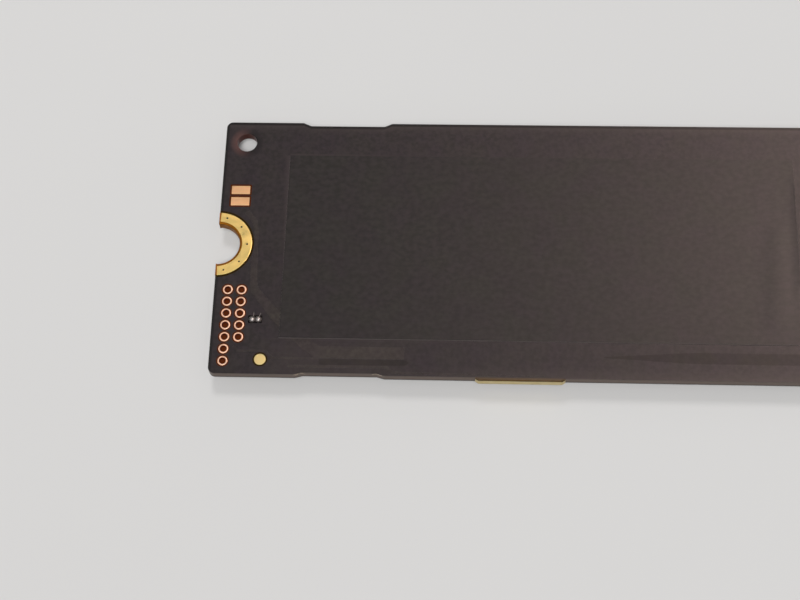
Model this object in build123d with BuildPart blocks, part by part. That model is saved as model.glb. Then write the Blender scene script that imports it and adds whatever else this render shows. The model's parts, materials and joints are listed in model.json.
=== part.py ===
from build123d import *
import os

# A single-sided M.2 2280 solid-state drive with an M-key edge connector. It lies bare face up on its
# chip packages: +X is the connector end, -X the screw notch, +Z the bare face. Millimetres.
# "from_end" is measured along X from the screw-notch end, "from_near" along Y from the -Y edge and
# "from_far" from the +Y edge.

# Board outline
board_length = 80.0
board_width = 22.0
board_thickness = 0.8
corner_radius = 0.5
mask_depth = 0.03
copper_thickness = 0.035

# Recesses left in both long edges by the panel's break-off tabs
far_recess_from_end = 6.31
far_recess_length = 7.27
far_recess_depth = 0.28
near_recess_from_end = 6.68
near_recess_length = 6.98
near_recess_depth = 0.16
recess_ramp = 0.62

# Plated tab on the near edge
plated_tab_from_end = 20.64
plated_tab_length = 6.93
plated_tab_depth = 0.17
plated_tab_ramp = 0.35
edge_plating_thickness = 0.05

# Screw notch and its plated pad
screw_notch_radius = 1.75
screw_pad_radius = 2.75
barrel_wall = 0.035
pad_clearance = 0.09
stitch_via_radius = 0.1
stitch_via_ring_radius = 2.35
stitch_via_angles = (-75, -40, 0, 40, 75)

# Tooling hole, with the shallow dish in the coating round it
tooling_hole_from_end = 1.75
tooling_hole_from_far = 1.85
tooling_hole_radius = 0.8
tooling_dish_radius = 1.3
tooling_dish_angle = 170

# Test points: two columns of plated holes
test_point_from_end = 1.08
test_point_column_pitch = 1.09
test_point_pad_gap = 1.21
test_point_edge_gap = 1.0
test_point_pitch = 1.0
test_point_short_column_count = 2
test_ring_radius = 0.4
test_hole_radius = 0.23

# Bare copper service pads beside the screw notch
service_pad_from_end = 1.53
service_pad_gap = 0.67
service_pad_pitch = 1.02
service_pad_length = 1.5
service_pad_width = 0.74

# Round alignment marks
fiducial_radius = 0.46
fiducial_from_end = 3.99
fiducial_from_near = 1.2
lower_fiducial_from_connector = 7.0

# Two tinned dots in one coating window
solder_dot_from_end = 3.4
solder_dot_from_near = 4.56
solder_dot_pitch = 0.49
solder_dot_radius = 0.17
solder_dot_height = 0.11
solder_dot_round = 0.08
solder_window_length = 1.12
solder_window_width = 0.66

# Thin blank film on the bare face
film_from_end = 5.36
film_length = 40.5
film_width = 16.0
film_thickness = 0.05
film_corner_radius = 0.2

# Edge connector: tongue, M key and contacts
tongue_width = 19.85
tongue_length = 4.0
tongue_corner_radius = 0.3
tongue_bevel = 0.2
contact_zone_length = 3.3
contact_width = 0.35
contact_pitch = 0.5
contact_length = 2.3
contact_tip_gap = 0.5
last_pin = 75
key_first_pin = 59
key_last_pin = 66
key_width = 1.2
key_depth = 3.5

# Ball-grid packages, in a row that starts at the screw-notch end and is spread over the board
ball_height = 0.25
ball_radius = 0.22
ball_sides = 8
package_height = 1.0
package_row_from_end = 5.5
flash_length = 12.0
flash_width = 18.0
flash_ball_columns = 4
flash_ball_rows = 11
flash_ball_pitch = 1.0
flash_bank_spacing = 6.0
memory_length = 7.5
memory_width = 13.3
memory_height = 0.8
memory_ball_columns = 3
memory_ball_rows = 13
memory_ball_pitch = 0.8
memory_bank_spacing = 4.8
controller_size = 13.0
controller_ball_count = 11
controller_ball_pitch = 1.05
index_mark_radius = 0.5
index_mark_depth = 0.03
index_mark_inset = 1.3

# Leadless packages: length along X, width along Y
lead_height = 0.05
lead_length = 0.45
lead_width = 0.25
centre_pad_gap = 0.25
leadless_mark_radius = 0.16
leadless_mark_inset = 0.42
regulator_size = 4.0
regulator_height = 0.75
regulator_lead_count = 6
regulator_lead_pitch = 0.5
regulator_offset = 2.6
sensor_size = 2.0
sensor_height = 0.55
sensor_lead_count = 3
sensor_lead_pitch = 0.5
sensor_from_far = 2.8
boot_memory_length = 2.0
boot_memory_width = 3.0
boot_memory_height = 0.55
boot_memory_lead_count = 4
boot_memory_lead_pitch = 0.5
boot_memory_from_near = 3.1
load_switch_size = 2.0
load_switch_height = 0.7
load_switch_lead_count = 3
load_switch_lead_pitch = 0.6
load_switch_from_near = 3.4

# Clock crystal: ceramic base under a metal lid
crystal_length = 2.5
crystal_width = 2.0
crystal_base_height = 0.35
crystal_lid_height = 0.2
crystal_lid_inset = 0.12
crystal_lid_bevel = 0.06
crystal_offset = -3.4

# Power inductors
inductor_count = 3
inductor_pitch = 3.4
inductor_length = 2.5
inductor_width = 2.0
inductor_height = 1.0
inductor_bevel = 0.15
inductor_terminal_length = 0.7
inductor_terminal_width = 1.6
inductor_terminal_height = 0.06

# Chip capacitors, resistors and the fuse: overall length, width, height and end-cap length
bulk_length = 1.6
bulk_width = 0.8
bulk_height = 0.8
bulk_cap = 0.35
bulk_count = 3
bulk_pitch = 1.2
bulk_from_far = 2.6
small_length = 1.0
small_width = 0.5
small_height = 0.5
small_cap = 0.22
small_pitch = 1.3
small_gap = 1.2
memory_small_count = 5
controller_small_count = 9
aisle_small_count = 6
aisle_small_pitch = 2.4
coupling_count = 8
coupling_pitch = 1.2
coupling_shoulder_gap = 1.2
coupling_offset = 3.4
resistor_height = 0.35
resistor_count = 7
resistor_pitch = 1.8
fuse_from_near = 1.5
fuse_height = 0.45

# Levels and ends
board_bottom = ball_height + package_height
board_top = board_bottom + board_thickness
copper_top = board_top - mask_depth
copper_bottom = board_bottom + mask_depth
mount_end = -board_length / 2
connector_end = board_length / 2
far_edge = board_width / 2
near_edge = -board_width / 2

# Places of the features of the board
tooling_hole_spot = (mount_end + tooling_hole_from_end, far_edge - tooling_hole_from_far)
fiducial_spot = (mount_end + fiducial_from_end, near_edge + fiducial_from_near)
lower_fiducial_spots = [
    fiducial_spot,
    (connector_end - lower_fiducial_from_connector, far_edge - fiducial_from_near),
]
solder_dot_spot = (mount_end + solder_dot_from_end, near_edge + solder_dot_from_near)
service_pad_y = screw_pad_radius + service_pad_gap + service_pad_width / 2
service_pad_spots = [
    (mount_end + service_pad_from_end, service_pad_y),
    (mount_end + service_pad_from_end, service_pad_y + service_pad_pitch),
]
first_test_point_y = -screw_pad_radius - test_point_pad_gap
test_point_span = board_width / 2 - test_point_edge_gap + first_test_point_y
test_point_count = 1 + int(test_point_span // test_point_pitch)
test_point_spots = []
for column, count in enumerate((test_point_count, test_point_count - test_point_short_column_count)):
    column_x = mount_end + test_point_from_end + column * test_point_column_pitch
    for number in range(count):
        test_point_spots.append((column_x, first_test_point_y - number * test_point_pitch))
barrel_radius = test_hole_radius + barrel_wall


def pin_y(pin):
    """Height along Y of a contact: odd and even pins alternate between the two faces."""
    return ((1 + last_pin) / 2 - pin) * contact_pitch / 2


key_y = (pin_y(key_first_pin) + pin_y(key_last_pin)) / 2


def edge_step_points(from_end, length, ramp, edge, depth):
    """Outline of a shallow step in a long edge, with a ramp at each end; depth points along +Y."""
    start = mount_end + from_end
    stop = start + length
    return [(start, edge), (start + ramp, edge + depth), (stop - ramp, edge + depth), (stop, edge)]


far_recess_points = edge_step_points(
    far_recess_from_end, far_recess_length, recess_ramp, far_edge, -far_recess_depth
)
near_recess_points = edge_step_points(
    near_recess_from_end, near_recess_length, recess_ramp, near_edge, near_recess_depth
)


def plated_tab_points(plating=0):
    """Outline of the near-edge tab, bare or grown by its plating."""
    return edge_step_points(
        plated_tab_from_end - plating,
        plated_tab_length + 2 * plating,
        plated_tab_ramp,
        near_edge,
        -plated_tab_depth - plating,
    )


# Places of the packages and columns, each one equal gap after the last
column_lengths = [
    flash_length,
    flash_length,
    memory_length,
    controller_size,
    regulator_size,
    inductor_length,
    small_length,
]
row_start = mount_end + package_row_from_end
row_end = connector_end - tongue_length - coupling_shoulder_gap
package_gap = (row_end - row_start - sum(column_lengths)) / (len(column_lengths) - 1)
column_places = []
column_start = row_start
for length in column_lengths:
    column_places.append(column_start + length / 2)
    column_start += length + package_gap
flash_a_x, flash_b_x, memory_x, controller_x, regulator_x, inductor_x, coupling_x = column_places

os.makedirs("parts", exist_ok=True)


def save(part, name):
    """Labels a finished piece and writes it as its own file."""
    part.label = name
    export_step(part, f"parts/{name}.step")


# Laminate board
with BuildPart() as circuit_board:
    with BuildSketch(Plane.XY.offset(board_bottom)) as outline:
        Rectangle(board_length, board_width)
        fillet(outline.vertices().group_by(Axis.X)[0], corner_radius)
        with BuildLine():
            Polyline(*far_recess_points, close=True)
        make_face(mode=Mode.SUBTRACT)
        with BuildLine():
            Polyline(*near_recess_points, close=True)
        make_face(mode=Mode.SUBTRACT)
        with BuildLine():
            Polyline(*plated_tab_points(), close=True)
        make_face()
        shoulder = (board_width - tongue_width) / 2
        with Locations(
            (connector_end - tongue_length / 2, far_edge - shoulder / 2),
            (connector_end - tongue_length / 2, near_edge + shoulder / 2),
        ):
            Rectangle(tongue_length, shoulder, mode=Mode.SUBTRACT)
        fillet(outline.vertices().group_by(Axis.X)[-1], tongue_corner_radius)
        with Locations((connector_end - (key_depth - key_width / 2) / 2, key_y)):
            Rectangle(key_depth - key_width / 2, key_width, mode=Mode.SUBTRACT)
        with Locations((connector_end - key_depth + key_width / 2, key_y)):
            Circle(key_width / 2, mode=Mode.SUBTRACT)
        with Locations((mount_end, 0)):
            Circle(screw_notch_radius + barrel_wall, mode=Mode.SUBTRACT)
        with Locations(*test_point_spots):
            Circle(barrel_radius, mode=Mode.SUBTRACT)
    extrude(amount=board_thickness)
    tip_edges = circuit_board.edges().group_by(Axis.X)[-1].filter_by(Axis.Y)
    chamfer(tip_edges, tongue_bevel)
    with Locations((*tooling_hole_spot, board_top)):
        CounterSinkHole(
            radius=tooling_hole_radius,
            counter_sink_radius=tooling_dish_radius,
            counter_sink_angle=tooling_dish_angle,
        )
    # Windows in the coating of the bare face
    with BuildSketch(Plane.XY.offset(board_top)) as upper_windows:
        with Locations((mount_end, 0)):
            Circle(screw_pad_radius + pad_clearance)
        with Locations(*test_point_spots):
            Circle(test_ring_radius + pad_clearance)
        with Locations(fiducial_spot):
            Circle(fiducial_radius + pad_clearance)
        with Locations(solder_dot_spot):
            Rectangle(solder_window_length, solder_window_width)
        with Locations(*service_pad_spots):
            Rectangle(service_pad_length + 2 * pad_clearance, service_pad_width + 2 * pad_clearance)
        with Locations((connector_end - contact_zone_length / 2, 0)):
            Rectangle(contact_zone_length, board_width)
    extrude(amount=-mask_depth, mode=Mode.SUBTRACT)
    # Windows in the coating of the chip face
    with BuildSketch(Plane.XY.offset(board_bottom)) as lower_windows:
        with Locations((mount_end, 0)):
            Circle(screw_pad_radius + pad_clearance)
        with Locations(*test_point_spots):
            Circle(test_ring_radius + pad_clearance)
        with Locations(*lower_fiducial_spots):
            Circle(fiducial_radius + pad_clearance)
        with Locations((connector_end - contact_zone_length / 2, 0)):
            Rectangle(contact_zone_length, board_width)
    extrude(amount=mask_depth, mode=Mode.SUBTRACT)
save(circuit_board.part, "circuit_board")

# Plated pad round the screw notch: a flange on each face, the wall between and the wrapped ends
pad_top = copper_top + copper_thickness
pad_bottom = copper_bottom - copper_thickness
notch_plane = Plane(origin=(mount_end, 0, 0), x_dir=(0, -1, 0), z_dir=(-1, 0, 0))
with BuildPart() as screw_pad:
    with BuildSketch(notch_plane):
        with BuildLine():
            Polyline(
                (screw_notch_radius, pad_top),
                (screw_pad_radius, pad_top),
                (screw_pad_radius, copper_top),
                (screw_notch_radius + barrel_wall, copper_top),
                (screw_notch_radius + barrel_wall, copper_bottom),
                (screw_pad_radius, copper_bottom),
                (screw_pad_radius, pad_bottom),
                (screw_notch_radius, pad_bottom),
                close=True,
            )
        make_face()
    revolve(axis=Axis((mount_end, 0, 0), (0, 0, 1)), revolution_arc=180)
    with BuildSketch(Plane.XY.offset(pad_bottom)):
        pad_band = screw_pad_radius - screw_notch_radius
        with Locations(
            (mount_end - barrel_wall / 2, screw_notch_radius + pad_band / 2),
            (mount_end - barrel_wall / 2, -screw_notch_radius - pad_band / 2),
        ):
            Rectangle(barrel_wall, pad_band)
    extrude(amount=pad_top - pad_bottom)
    with BuildSketch(Plane.XY.offset(pad_bottom)):
        for angle in stitch_via_angles:
            with Locations((mount_end, 0)):
                with PolarLocations(stitch_via_ring_radius, 1, start_angle=angle):
                    Circle(stitch_via_radius)
    extrude(amount=pad_top - pad_bottom, mode=Mode.SUBTRACT)
save(screw_pad.part, "screw_pad")

# Gold plating on the near-edge tab
with BuildPart() as edge_plating:
    with BuildSketch(Plane.XY.offset(board_bottom)):
        with BuildLine():
            Polyline(*plated_tab_points(edge_plating_thickness), close=True)
        make_face()
        with BuildLine():
            Polyline(*plated_tab_points(), close=True)
        make_face(mode=Mode.SUBTRACT)
    extrude(amount=board_thickness)
save(edge_plating.part, "edge_plating")

# Plated test holes: a ring on each face and the barrel between
with BuildPart() as test_points:
    for level, radius, height in (
        (copper_top, test_ring_radius, copper_thickness),
        (copper_bottom, barrel_radius, copper_top - copper_bottom),
        (copper_bottom - copper_thickness, test_ring_radius, copper_thickness),
    ):
        with BuildSketch(Plane.XY.offset(level)):
            with Locations(*test_point_spots):
                Circle(radius)
                Circle(test_hole_radius, mode=Mode.SUBTRACT)
        extrude(amount=height)
save(test_points.part, "test_points")

# Bare copper service pads
with BuildPart() as service_pads:
    with BuildSketch(Plane.XY.offset(copper_top)):
        with Locations(*service_pad_spots):
            Rectangle(service_pad_length, service_pad_width)
    extrude(amount=copper_thickness)
save(service_pads.part, "service_pads")

# Alignment marks of the two faces
with BuildPart() as upper_fiducial:
    with BuildSketch(Plane.XY.offset(copper_top)):
        with Locations(fiducial_spot):
            Circle(fiducial_radius)
    extrude(amount=copper_thickness)
save(upper_fiducial.part, "upper_fiducial")

with BuildPart() as lower_fiducials:
    with BuildSketch(Plane.XY.offset(copper_bottom)):
        with Locations(*lower_fiducial_spots):
            Circle(fiducial_radius)
    extrude(amount=-copper_thickness)
save(lower_fiducials.part, "lower_fiducials")

# Tinned dots
with BuildPart() as solder_dots:
    with BuildSketch(Plane.XY.offset(copper_top)):
        with Locations(solder_dot_spot):
            with GridLocations(solder_dot_pitch, 0, 2, 1):
                Circle(solder_dot_radius)
    extrude(amount=solder_dot_height)
    fillet(solder_dots.edges().group_by(Axis.Z)[-1], solder_dot_round)
save(solder_dots.part, "solder_dots")

# Blank film on the bare face
with BuildPart() as cover_film:
    with BuildSketch(Plane.XY.offset(board_top)):
        with Locations((mount_end + film_from_end + film_length / 2, 0)):
            RectangleRounded(film_length, film_width, film_corner_radius)
    extrude(amount=film_thickness)
save(cover_film.part, "cover_film")

# Gold contacts: odd pins on the chip face, even pins on the bare face
contact_x = connector_end - contact_tip_gap - contact_length / 2
contact_rows = {
    "lower_contacts": (1, copper_bottom, -copper_thickness),
    "upper_contacts": (2, copper_top, copper_thickness),
}
for name, (first_pin, level, height) in contact_rows.items():
    pins = [
        pin
        for pin in range(first_pin, last_pin + 1, 2)
        if not key_first_pin <= pin <= key_last_pin
    ]
    with BuildPart() as contacts:
        with BuildSketch(Plane.XY.offset(level)):
            with Locations(*[(contact_x, pin_y(pin)) for pin in pins]):
                Rectangle(contact_length, contact_width)
        extrude(amount=height)
    save(contacts.part, name)


def save_ball_grid_package(name, x, length, width, height, banks, pitch, columns, rows):
    """A moulded package with its index mark, hung under the board on banks of solder balls."""
    with BuildPart() as package:
        with BuildSketch(Plane.XY.offset(board_bottom - ball_height)):
            with Locations((x, 0)):
                Rectangle(length, width)
        extrude(amount=-height)
        mark_spot = (x - length / 2 + index_mark_inset, width / 2 - index_mark_inset)
        with BuildSketch(Plane.XY.offset(board_bottom - ball_height - height)):
            with Locations(mark_spot):
                Circle(index_mark_radius)
        extrude(amount=index_mark_depth, mode=Mode.SUBTRACT)
    save(package.part, name)
    with BuildPart() as balls:
        with BuildSketch(Plane.XY.offset(board_bottom - ball_height)):
            with Locations(*[(x + bank, 0) for bank in banks]):
                with GridLocations(pitch, pitch, columns, rows):
                    RegularPolygon(ball_radius, ball_sides)
        extrude(amount=ball_height)
    save(balls.part, f"{name}_solder_balls")


for name, x in (("flash_a", flash_a_x), ("flash_b", flash_b_x)):
    save_ball_grid_package(
        name,
        x,
        flash_length,
        flash_width,
        package_height,
        (-flash_bank_spacing / 2, flash_bank_spacing / 2),
        flash_ball_pitch,
        flash_ball_columns,
        flash_ball_rows,
    )
save_ball_grid_package(
    "buffer_memory",
    memory_x,
    memory_length,
    memory_width,
    memory_height,
    (-memory_bank_spacing / 2, memory_bank_spacing / 2),
    memory_ball_pitch,
    memory_ball_columns,
    memory_ball_rows,
)
save_ball_grid_package(
    "controller",
    controller_x,
    controller_size,
    controller_size,
    package_height,
    (0,),
    controller_ball_pitch,
    controller_ball_count,
    controller_ball_count,
)


def save_leadless_package(name, spot, length, width, height, lead_count, pitch, four_sided=False):
    """A flat moulded package on metal leads along two or four of its sides, with a centre pad."""
    with BuildPart() as package:
        with BuildSketch(Plane.XY.offset(board_bottom - lead_height)):
            with Locations(spot):
                Rectangle(length, width)
        extrude(amount=-height)
        mark_spot = (
            spot[0] - length / 2 + leadless_mark_inset,
            spot[1] + width / 2 - leadless_mark_inset,
        )
        with BuildSketch(Plane.XY.offset(board_bottom - lead_height - height)):
            with Locations(mark_spot):
                Circle(leadless_mark_radius)
        extrude(amount=index_mark_depth, mode=Mode.SUBTRACT)
    save(package.part, name)
    with BuildPart() as leads:
        with BuildSketch(Plane.XY.offset(board_bottom)):
            with Locations(spot):
                with GridLocations(length - lead_length, pitch, 2, lead_count):
                    Rectangle(lead_length, lead_width)
                if four_sided:
                    with GridLocations(pitch, width - lead_length, lead_count, 2):
                        Rectangle(lead_width, lead_length)
                centre_pad_margin = 2 * (lead_length + centre_pad_gap)
                Rectangle(length - centre_pad_margin, width - centre_pad_margin)
        extrude(amount=-lead_height)
    save(leads.part, f"{name}_leads")


save_leadless_package(
    "power_regulator",
    (regulator_x, regulator_offset),
    regulator_size,
    regulator_size,
    regulator_height,
    regulator_lead_count,
    regulator_lead_pitch,
    four_sided=True,
)
save_leadless_package(
    "temperature_sensor",
    (regulator_x, far_edge - sensor_from_far),
    sensor_size,
    sensor_size,
    sensor_height,
    sensor_lead_count,
    sensor_lead_pitch,
)
save_leadless_package(
    "boot_memory",
    (regulator_x, near_edge + boot_memory_from_near),
    boot_memory_length,
    boot_memory_width,
    boot_memory_height,
    boot_memory_lead_count,
    boot_memory_lead_pitch,
)
save_leadless_package(
    "load_switch",
    (inductor_x, near_edge + load_switch_from_near),
    load_switch_size,
    load_switch_size,
    load_switch_height,
    load_switch_lead_count,
    load_switch_lead_pitch,
)

# Clock crystal
with BuildPart() as crystal_base:
    with BuildSketch(Plane.XY.offset(board_bottom)):
        with Locations((regulator_x, crystal_offset)):
            Rectangle(crystal_length, crystal_width)
    extrude(amount=-crystal_base_height)
save(crystal_base.part, "crystal_base")

with BuildPart() as crystal_lid:
    with BuildSketch(Plane.XY.offset(board_bottom - crystal_base_height)):
        with Locations((regulator_x, crystal_offset)):
            Rectangle(crystal_length - 2 * crystal_lid_inset, crystal_width - 2 * crystal_lid_inset)
    extrude(amount=-crystal_lid_height)
    chamfer(crystal_lid.edges().group_by(Axis.Z)[0], crystal_lid_bevel)
save(crystal_lid.part, "crystal_lid")

# Power inductors, each a moulded block on two terminals
for number in range(inductor_count):
    spot = (inductor_x, (number - (inductor_count - 1) / 2) * inductor_pitch)
    with BuildPart() as inductor:
        with BuildSketch(Plane.XY.offset(board_bottom - inductor_terminal_height)):
            with Locations(spot):
                Rectangle(inductor_length, inductor_width)
        extrude(amount=-inductor_height)
        chamfer(inductor.edges().filter_by(Axis.Z), inductor_bevel)
    save(inductor.part, f"inductor_{number + 1}")
    with BuildPart() as terminals:
        with BuildSketch(Plane.XY.offset(board_bottom)):
            with Locations(spot):
                with GridLocations(inductor_length - inductor_terminal_length, 0, 2, 1):
                    Rectangle(inductor_terminal_length, inductor_terminal_width)
        extrude(amount=-inductor_terminal_height)
    save(terminals.part, f"inductor_{number + 1}_terminals")


def save_chips(name, spots, length, width, height, cap):
    """Chip parts of one kind: the bodies in one file, their metal end caps in another."""
    with BuildPart() as bodies:
        with BuildSketch(Plane.XY.offset(board_bottom)):
            with Locations(*spots):
                Rectangle(length - 2 * cap, width)
        extrude(amount=-height)
    save(bodies.part, f"{name}_bodies")
    with BuildPart() as caps:
        with BuildSketch(Plane.XY.offset(board_bottom)):
            with Locations(*spots):
                with GridLocations(length - cap, 0, 2, 1):
                    Rectangle(cap, width)
        extrude(amount=-height)
    save(caps.part, f"{name}_end_caps")


def row(x, y, pitch, count, along_y=False, turned=False):
    """Evenly spaced places centred on x, y, with the chips along X or turned along Y."""
    places = []
    for number in range(count):
        step = (number - (count - 1) / 2) * pitch
        place = (x, y + step, 0) if along_y else (x + step, y, 0)
        places.append(Location(place, (0, 0, 90 if turned else 0)))
    return places


bulk_spots = row(inductor_x, far_edge - bulk_from_far, bulk_pitch, bulk_count, along_y=True)
save_chips("bulk_capacitor", bulk_spots, bulk_length, bulk_width, bulk_height, bulk_cap)

# Small capacitors flank the memory and the controller and stand in the aisles between the packages
small_spots = []
for x, half_width, count in (
    (memory_x, memory_width / 2, memory_small_count),
    (controller_x, controller_size / 2, controller_small_count),
):
    for side in (1, -1):
        small_y = side * (half_width + small_gap)
        small_spots += row(x, small_y, small_pitch, count, turned=True)
for x in (flash_a_x, flash_b_x):
    aisle_x = x + (flash_length + package_gap) / 2
    small_spots += row(aisle_x, 0, aisle_small_pitch, aisle_small_count, along_y=True, turned=True)
save_chips("small_capacitor", small_spots, small_length, small_width, small_height, small_cap)

coupling_spots = row(coupling_x, coupling_offset, coupling_pitch, coupling_count, along_y=True)
save_chips("coupling_capacitor", coupling_spots, small_length, small_width, small_height, small_cap)

resistor_x = memory_x + (memory_length + package_gap) / 2
resistor_spots = row(resistor_x, 0, resistor_pitch, resistor_count, along_y=True, turned=True)
save_chips("resistor", resistor_spots, small_length, small_width, resistor_height, small_cap)

fuse_spots = row(inductor_x, near_edge + fuse_from_near, bulk_pitch, 1)
save_chips("input_fuse", fuse_spots, bulk_length, bulk_width, fuse_height, bulk_cap)
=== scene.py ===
"""Looks of a slim solid-state drive card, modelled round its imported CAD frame.

The card lies bare face up on its chip packages. Sizes are in millimetres; a finished piece is
scaled to metres as it is settled on the frame. +X is the connector end, -X the screw notch.
"""
import json
import logging
import math
from dataclasses import dataclass, field
from enum import Enum
from typing import Any, Callable, Sequence

import bmesh
import bpy
from mathutils import Matrix, Vector

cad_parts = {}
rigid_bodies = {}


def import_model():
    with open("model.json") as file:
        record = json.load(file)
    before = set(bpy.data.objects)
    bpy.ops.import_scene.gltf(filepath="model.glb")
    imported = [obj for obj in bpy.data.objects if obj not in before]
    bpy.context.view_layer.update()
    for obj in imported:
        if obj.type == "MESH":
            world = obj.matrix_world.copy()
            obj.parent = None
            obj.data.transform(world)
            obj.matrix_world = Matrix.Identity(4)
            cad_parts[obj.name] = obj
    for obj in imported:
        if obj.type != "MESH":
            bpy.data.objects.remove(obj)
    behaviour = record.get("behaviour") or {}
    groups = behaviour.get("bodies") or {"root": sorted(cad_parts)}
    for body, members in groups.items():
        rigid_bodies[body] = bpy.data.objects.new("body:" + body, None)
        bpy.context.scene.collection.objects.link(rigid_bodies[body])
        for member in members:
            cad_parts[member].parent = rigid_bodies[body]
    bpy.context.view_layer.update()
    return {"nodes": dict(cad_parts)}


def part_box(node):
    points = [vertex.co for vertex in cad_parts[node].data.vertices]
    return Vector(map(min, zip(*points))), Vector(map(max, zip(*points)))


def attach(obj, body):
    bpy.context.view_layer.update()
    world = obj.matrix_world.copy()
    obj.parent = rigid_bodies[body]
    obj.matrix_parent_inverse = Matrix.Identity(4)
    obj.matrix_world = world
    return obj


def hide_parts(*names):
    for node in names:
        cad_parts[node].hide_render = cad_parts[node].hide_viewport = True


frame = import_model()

LOG = logging.getLogger("drive_card")
MM = 0.001
BODY = "root"
Spot = tuple[float, float]
Point = tuple[float, float, float]
Run = tuple[list[Spot], list[float]]
Piece = bpy.types.Object
Material = bpy.types.Material


class Face(Enum):
    """The two faces of the board; the value is the way that the face looks along Z."""

    BARE = 1
    CHIP = -1


class Grain(Enum):
    """How the fine pattern of a surface runs."""

    EVEN = (1.0, 1.0, 1.0)
    ALONG_X = (0.12, 1.0, 1.0)


class Reach(Enum):
    """What a lamp acts on: everything, only the matt share of a surface, or only its gloss."""

    ALL = (True, True)
    MATT = (True, False)
    GLOSS = (False, True)


# Frame measures


@dataclass(frozen=True)
class Solid:
    """The box of one CAD solid, in millimetres."""

    low: Vector
    high: Vector

    @property
    def size(self) -> Vector:
        """The lengths of the box's sides."""
        return self.high - self.low

    @property
    def middle(self) -> Vector:
        """The centre of the box."""
        return (self.low + self.high) / 2


def node_box(node: str) -> Solid:
    """Measures a CAD node.

    Args:
        node: Name of the CAD node.

    Returns:
        Its box at rest, in millimetres.
    """
    low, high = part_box(node)
    return Solid(low / MM, high / MM)


def solids_of(node: str) -> list[Solid]:
    """Finds the separate solids of a CAD node by walking the corners that its triangles share.

    Args:
        node: Name of the CAD node.

    Returns:
        The box of each solid in millimetres, ordered by place.
    """
    mesh = frame["nodes"][node].data
    owner: dict[Point, Point] = {}

    def root(key: Point) -> Point:
        """Follows a corner to the one that stands for its solid.

        Args:
            key: The corner.

        Returns:
            The corner that stands for the solid.
        """
        while owner[key] != key:
            owner[key] = owner[owner[key]]
            key = owner[key]
        return key

    keys = [tuple(round(c / MM, 3) for c in vertex.co) for vertex in mesh.vertices]
    for key in keys:
        owner.setdefault(key, key)
    for polygon in mesh.polygons:
        first = root(keys[polygon.vertices[0]])
        for index in polygon.vertices[1:]:
            owner[root(keys[index])] = first
    groups: dict[Point, list[Point]] = {}
    for key in owner:
        groups.setdefault(root(key), []).append(key)
    solids = []
    for points in groups.values():
        axes = list(zip(*points))
        solids.append(Solid(Vector([min(a) for a in axes]), Vector([max(a) for a in axes])))
    return sorted(solids, key=lambda s: (round(s.middle.x, 2), round(s.middle.y, 2)))


BOARD = node_box("circuit_board")
NOTCH_PAD = node_box("screw_pad")
MOUNT_END = NOTCH_PAD.high.x - (NOTCH_PAD.high.y - NOTCH_PAD.low.y) / 2
FILM = node_box("cover_film")


# Modelling bench


def begin() -> None:
    """Leaves edit mode and deselects everything."""
    active = bpy.context.view_layer.objects.active
    if active is not None and active.mode != "OBJECT":
        bpy.ops.object.mode_set(mode="OBJECT")
    bpy.ops.object.select_all(action="DESELECT")


def take(piece: Piece) -> None:
    """Makes a piece the active one and the only one selected.

    Args:
        piece: The object to take.
    """
    begin()
    piece.select_set(True)
    bpy.context.view_layer.objects.active = piece


def added(name: str) -> Piece:
    """Names the primitive that was just added and puts its place and size into its mesh.

    Args:
        name: Name for the new object.

    Returns:
        The new object, at the origin.
    """
    piece = bpy.context.view_layer.objects.active
    piece.name = name
    bpy.ops.object.transform_apply(location=True, rotation=True, scale=True)
    return piece


def block(name: str, low: Sequence[float], high: Sequence[float]) -> Piece:
    """Adds a cube primitive stretched between two corners.

    Args:
        name: Name for the new object.
        low: Lowest corner.
        high: Highest corner.

    Returns:
        The block, ready to be shaped.
    """
    begin()
    bpy.ops.mesh.primitive_cube_add(size=1, location=[(a + b) / 2 for a, b in zip(low, high)])
    bpy.context.view_layer.objects.active.scale = [b - a for a, b in zip(low, high)]
    return added(name)


def drum(name: str, sides: int, radius: float, depth: float, place: Point = (0, 0, 0)) -> Piece:
    """Adds an upright cylinder primitive.

    Args:
        name: Name for the new object.
        sides: Faces round it.
        radius: Its radius.
        depth: Its height.
        place: Its middle.

    Returns:
        The cylinder, ready to be shaped.
    """
    begin()
    bpy.ops.mesh.primitive_cylinder_add(vertices=sides, radius=radius, depth=depth, location=place)
    return added(name)


def modify(piece: Piece, kind: str, **settings: Any) -> None:
    """Adds a modifier to a piece and applies it.

    Args:
        piece: The object to change.
        kind: Blender's name for the modifier.
        **settings: Values of the modifier's properties.
    """
    take(piece)
    modifier = piece.modifiers.new(kind.lower(), kind)
    for key, value in settings.items():
        setattr(modifier, key, value)
    bpy.ops.object.modifier_apply(modifier=modifier.name)


def soften(piece: Piece, width: float, segments: int = 2, angle: float = 50) -> None:
    """Rounds the sharp edges of a piece with a bevel.

    Args:
        piece: The object to change.
        width: Width of the rounding.
        segments: Steps across the rounding.
        angle: Edges that turn by more than this are rounded, in degrees.
    """
    modify(
        piece,
        "BEVEL",
        width=width,
        segments=segments,
        limit_method="ANGLE",
        angle_limit=math.radians(angle),
    )


def smooth(piece: Piece, angle: float = 40) -> None:
    """Shades a piece smooth up to an angle, with its flat faces kept flat.

    Args:
        piece: The object to shade.
        angle: Edges that turn by more than this stay sharp, in degrees.
    """
    take(piece)
    bpy.ops.object.shade_smooth_by_angle(angle=math.radians(angle))
    modify(piece, "WEIGHTED_NORMAL", keep_sharp=True)


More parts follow.
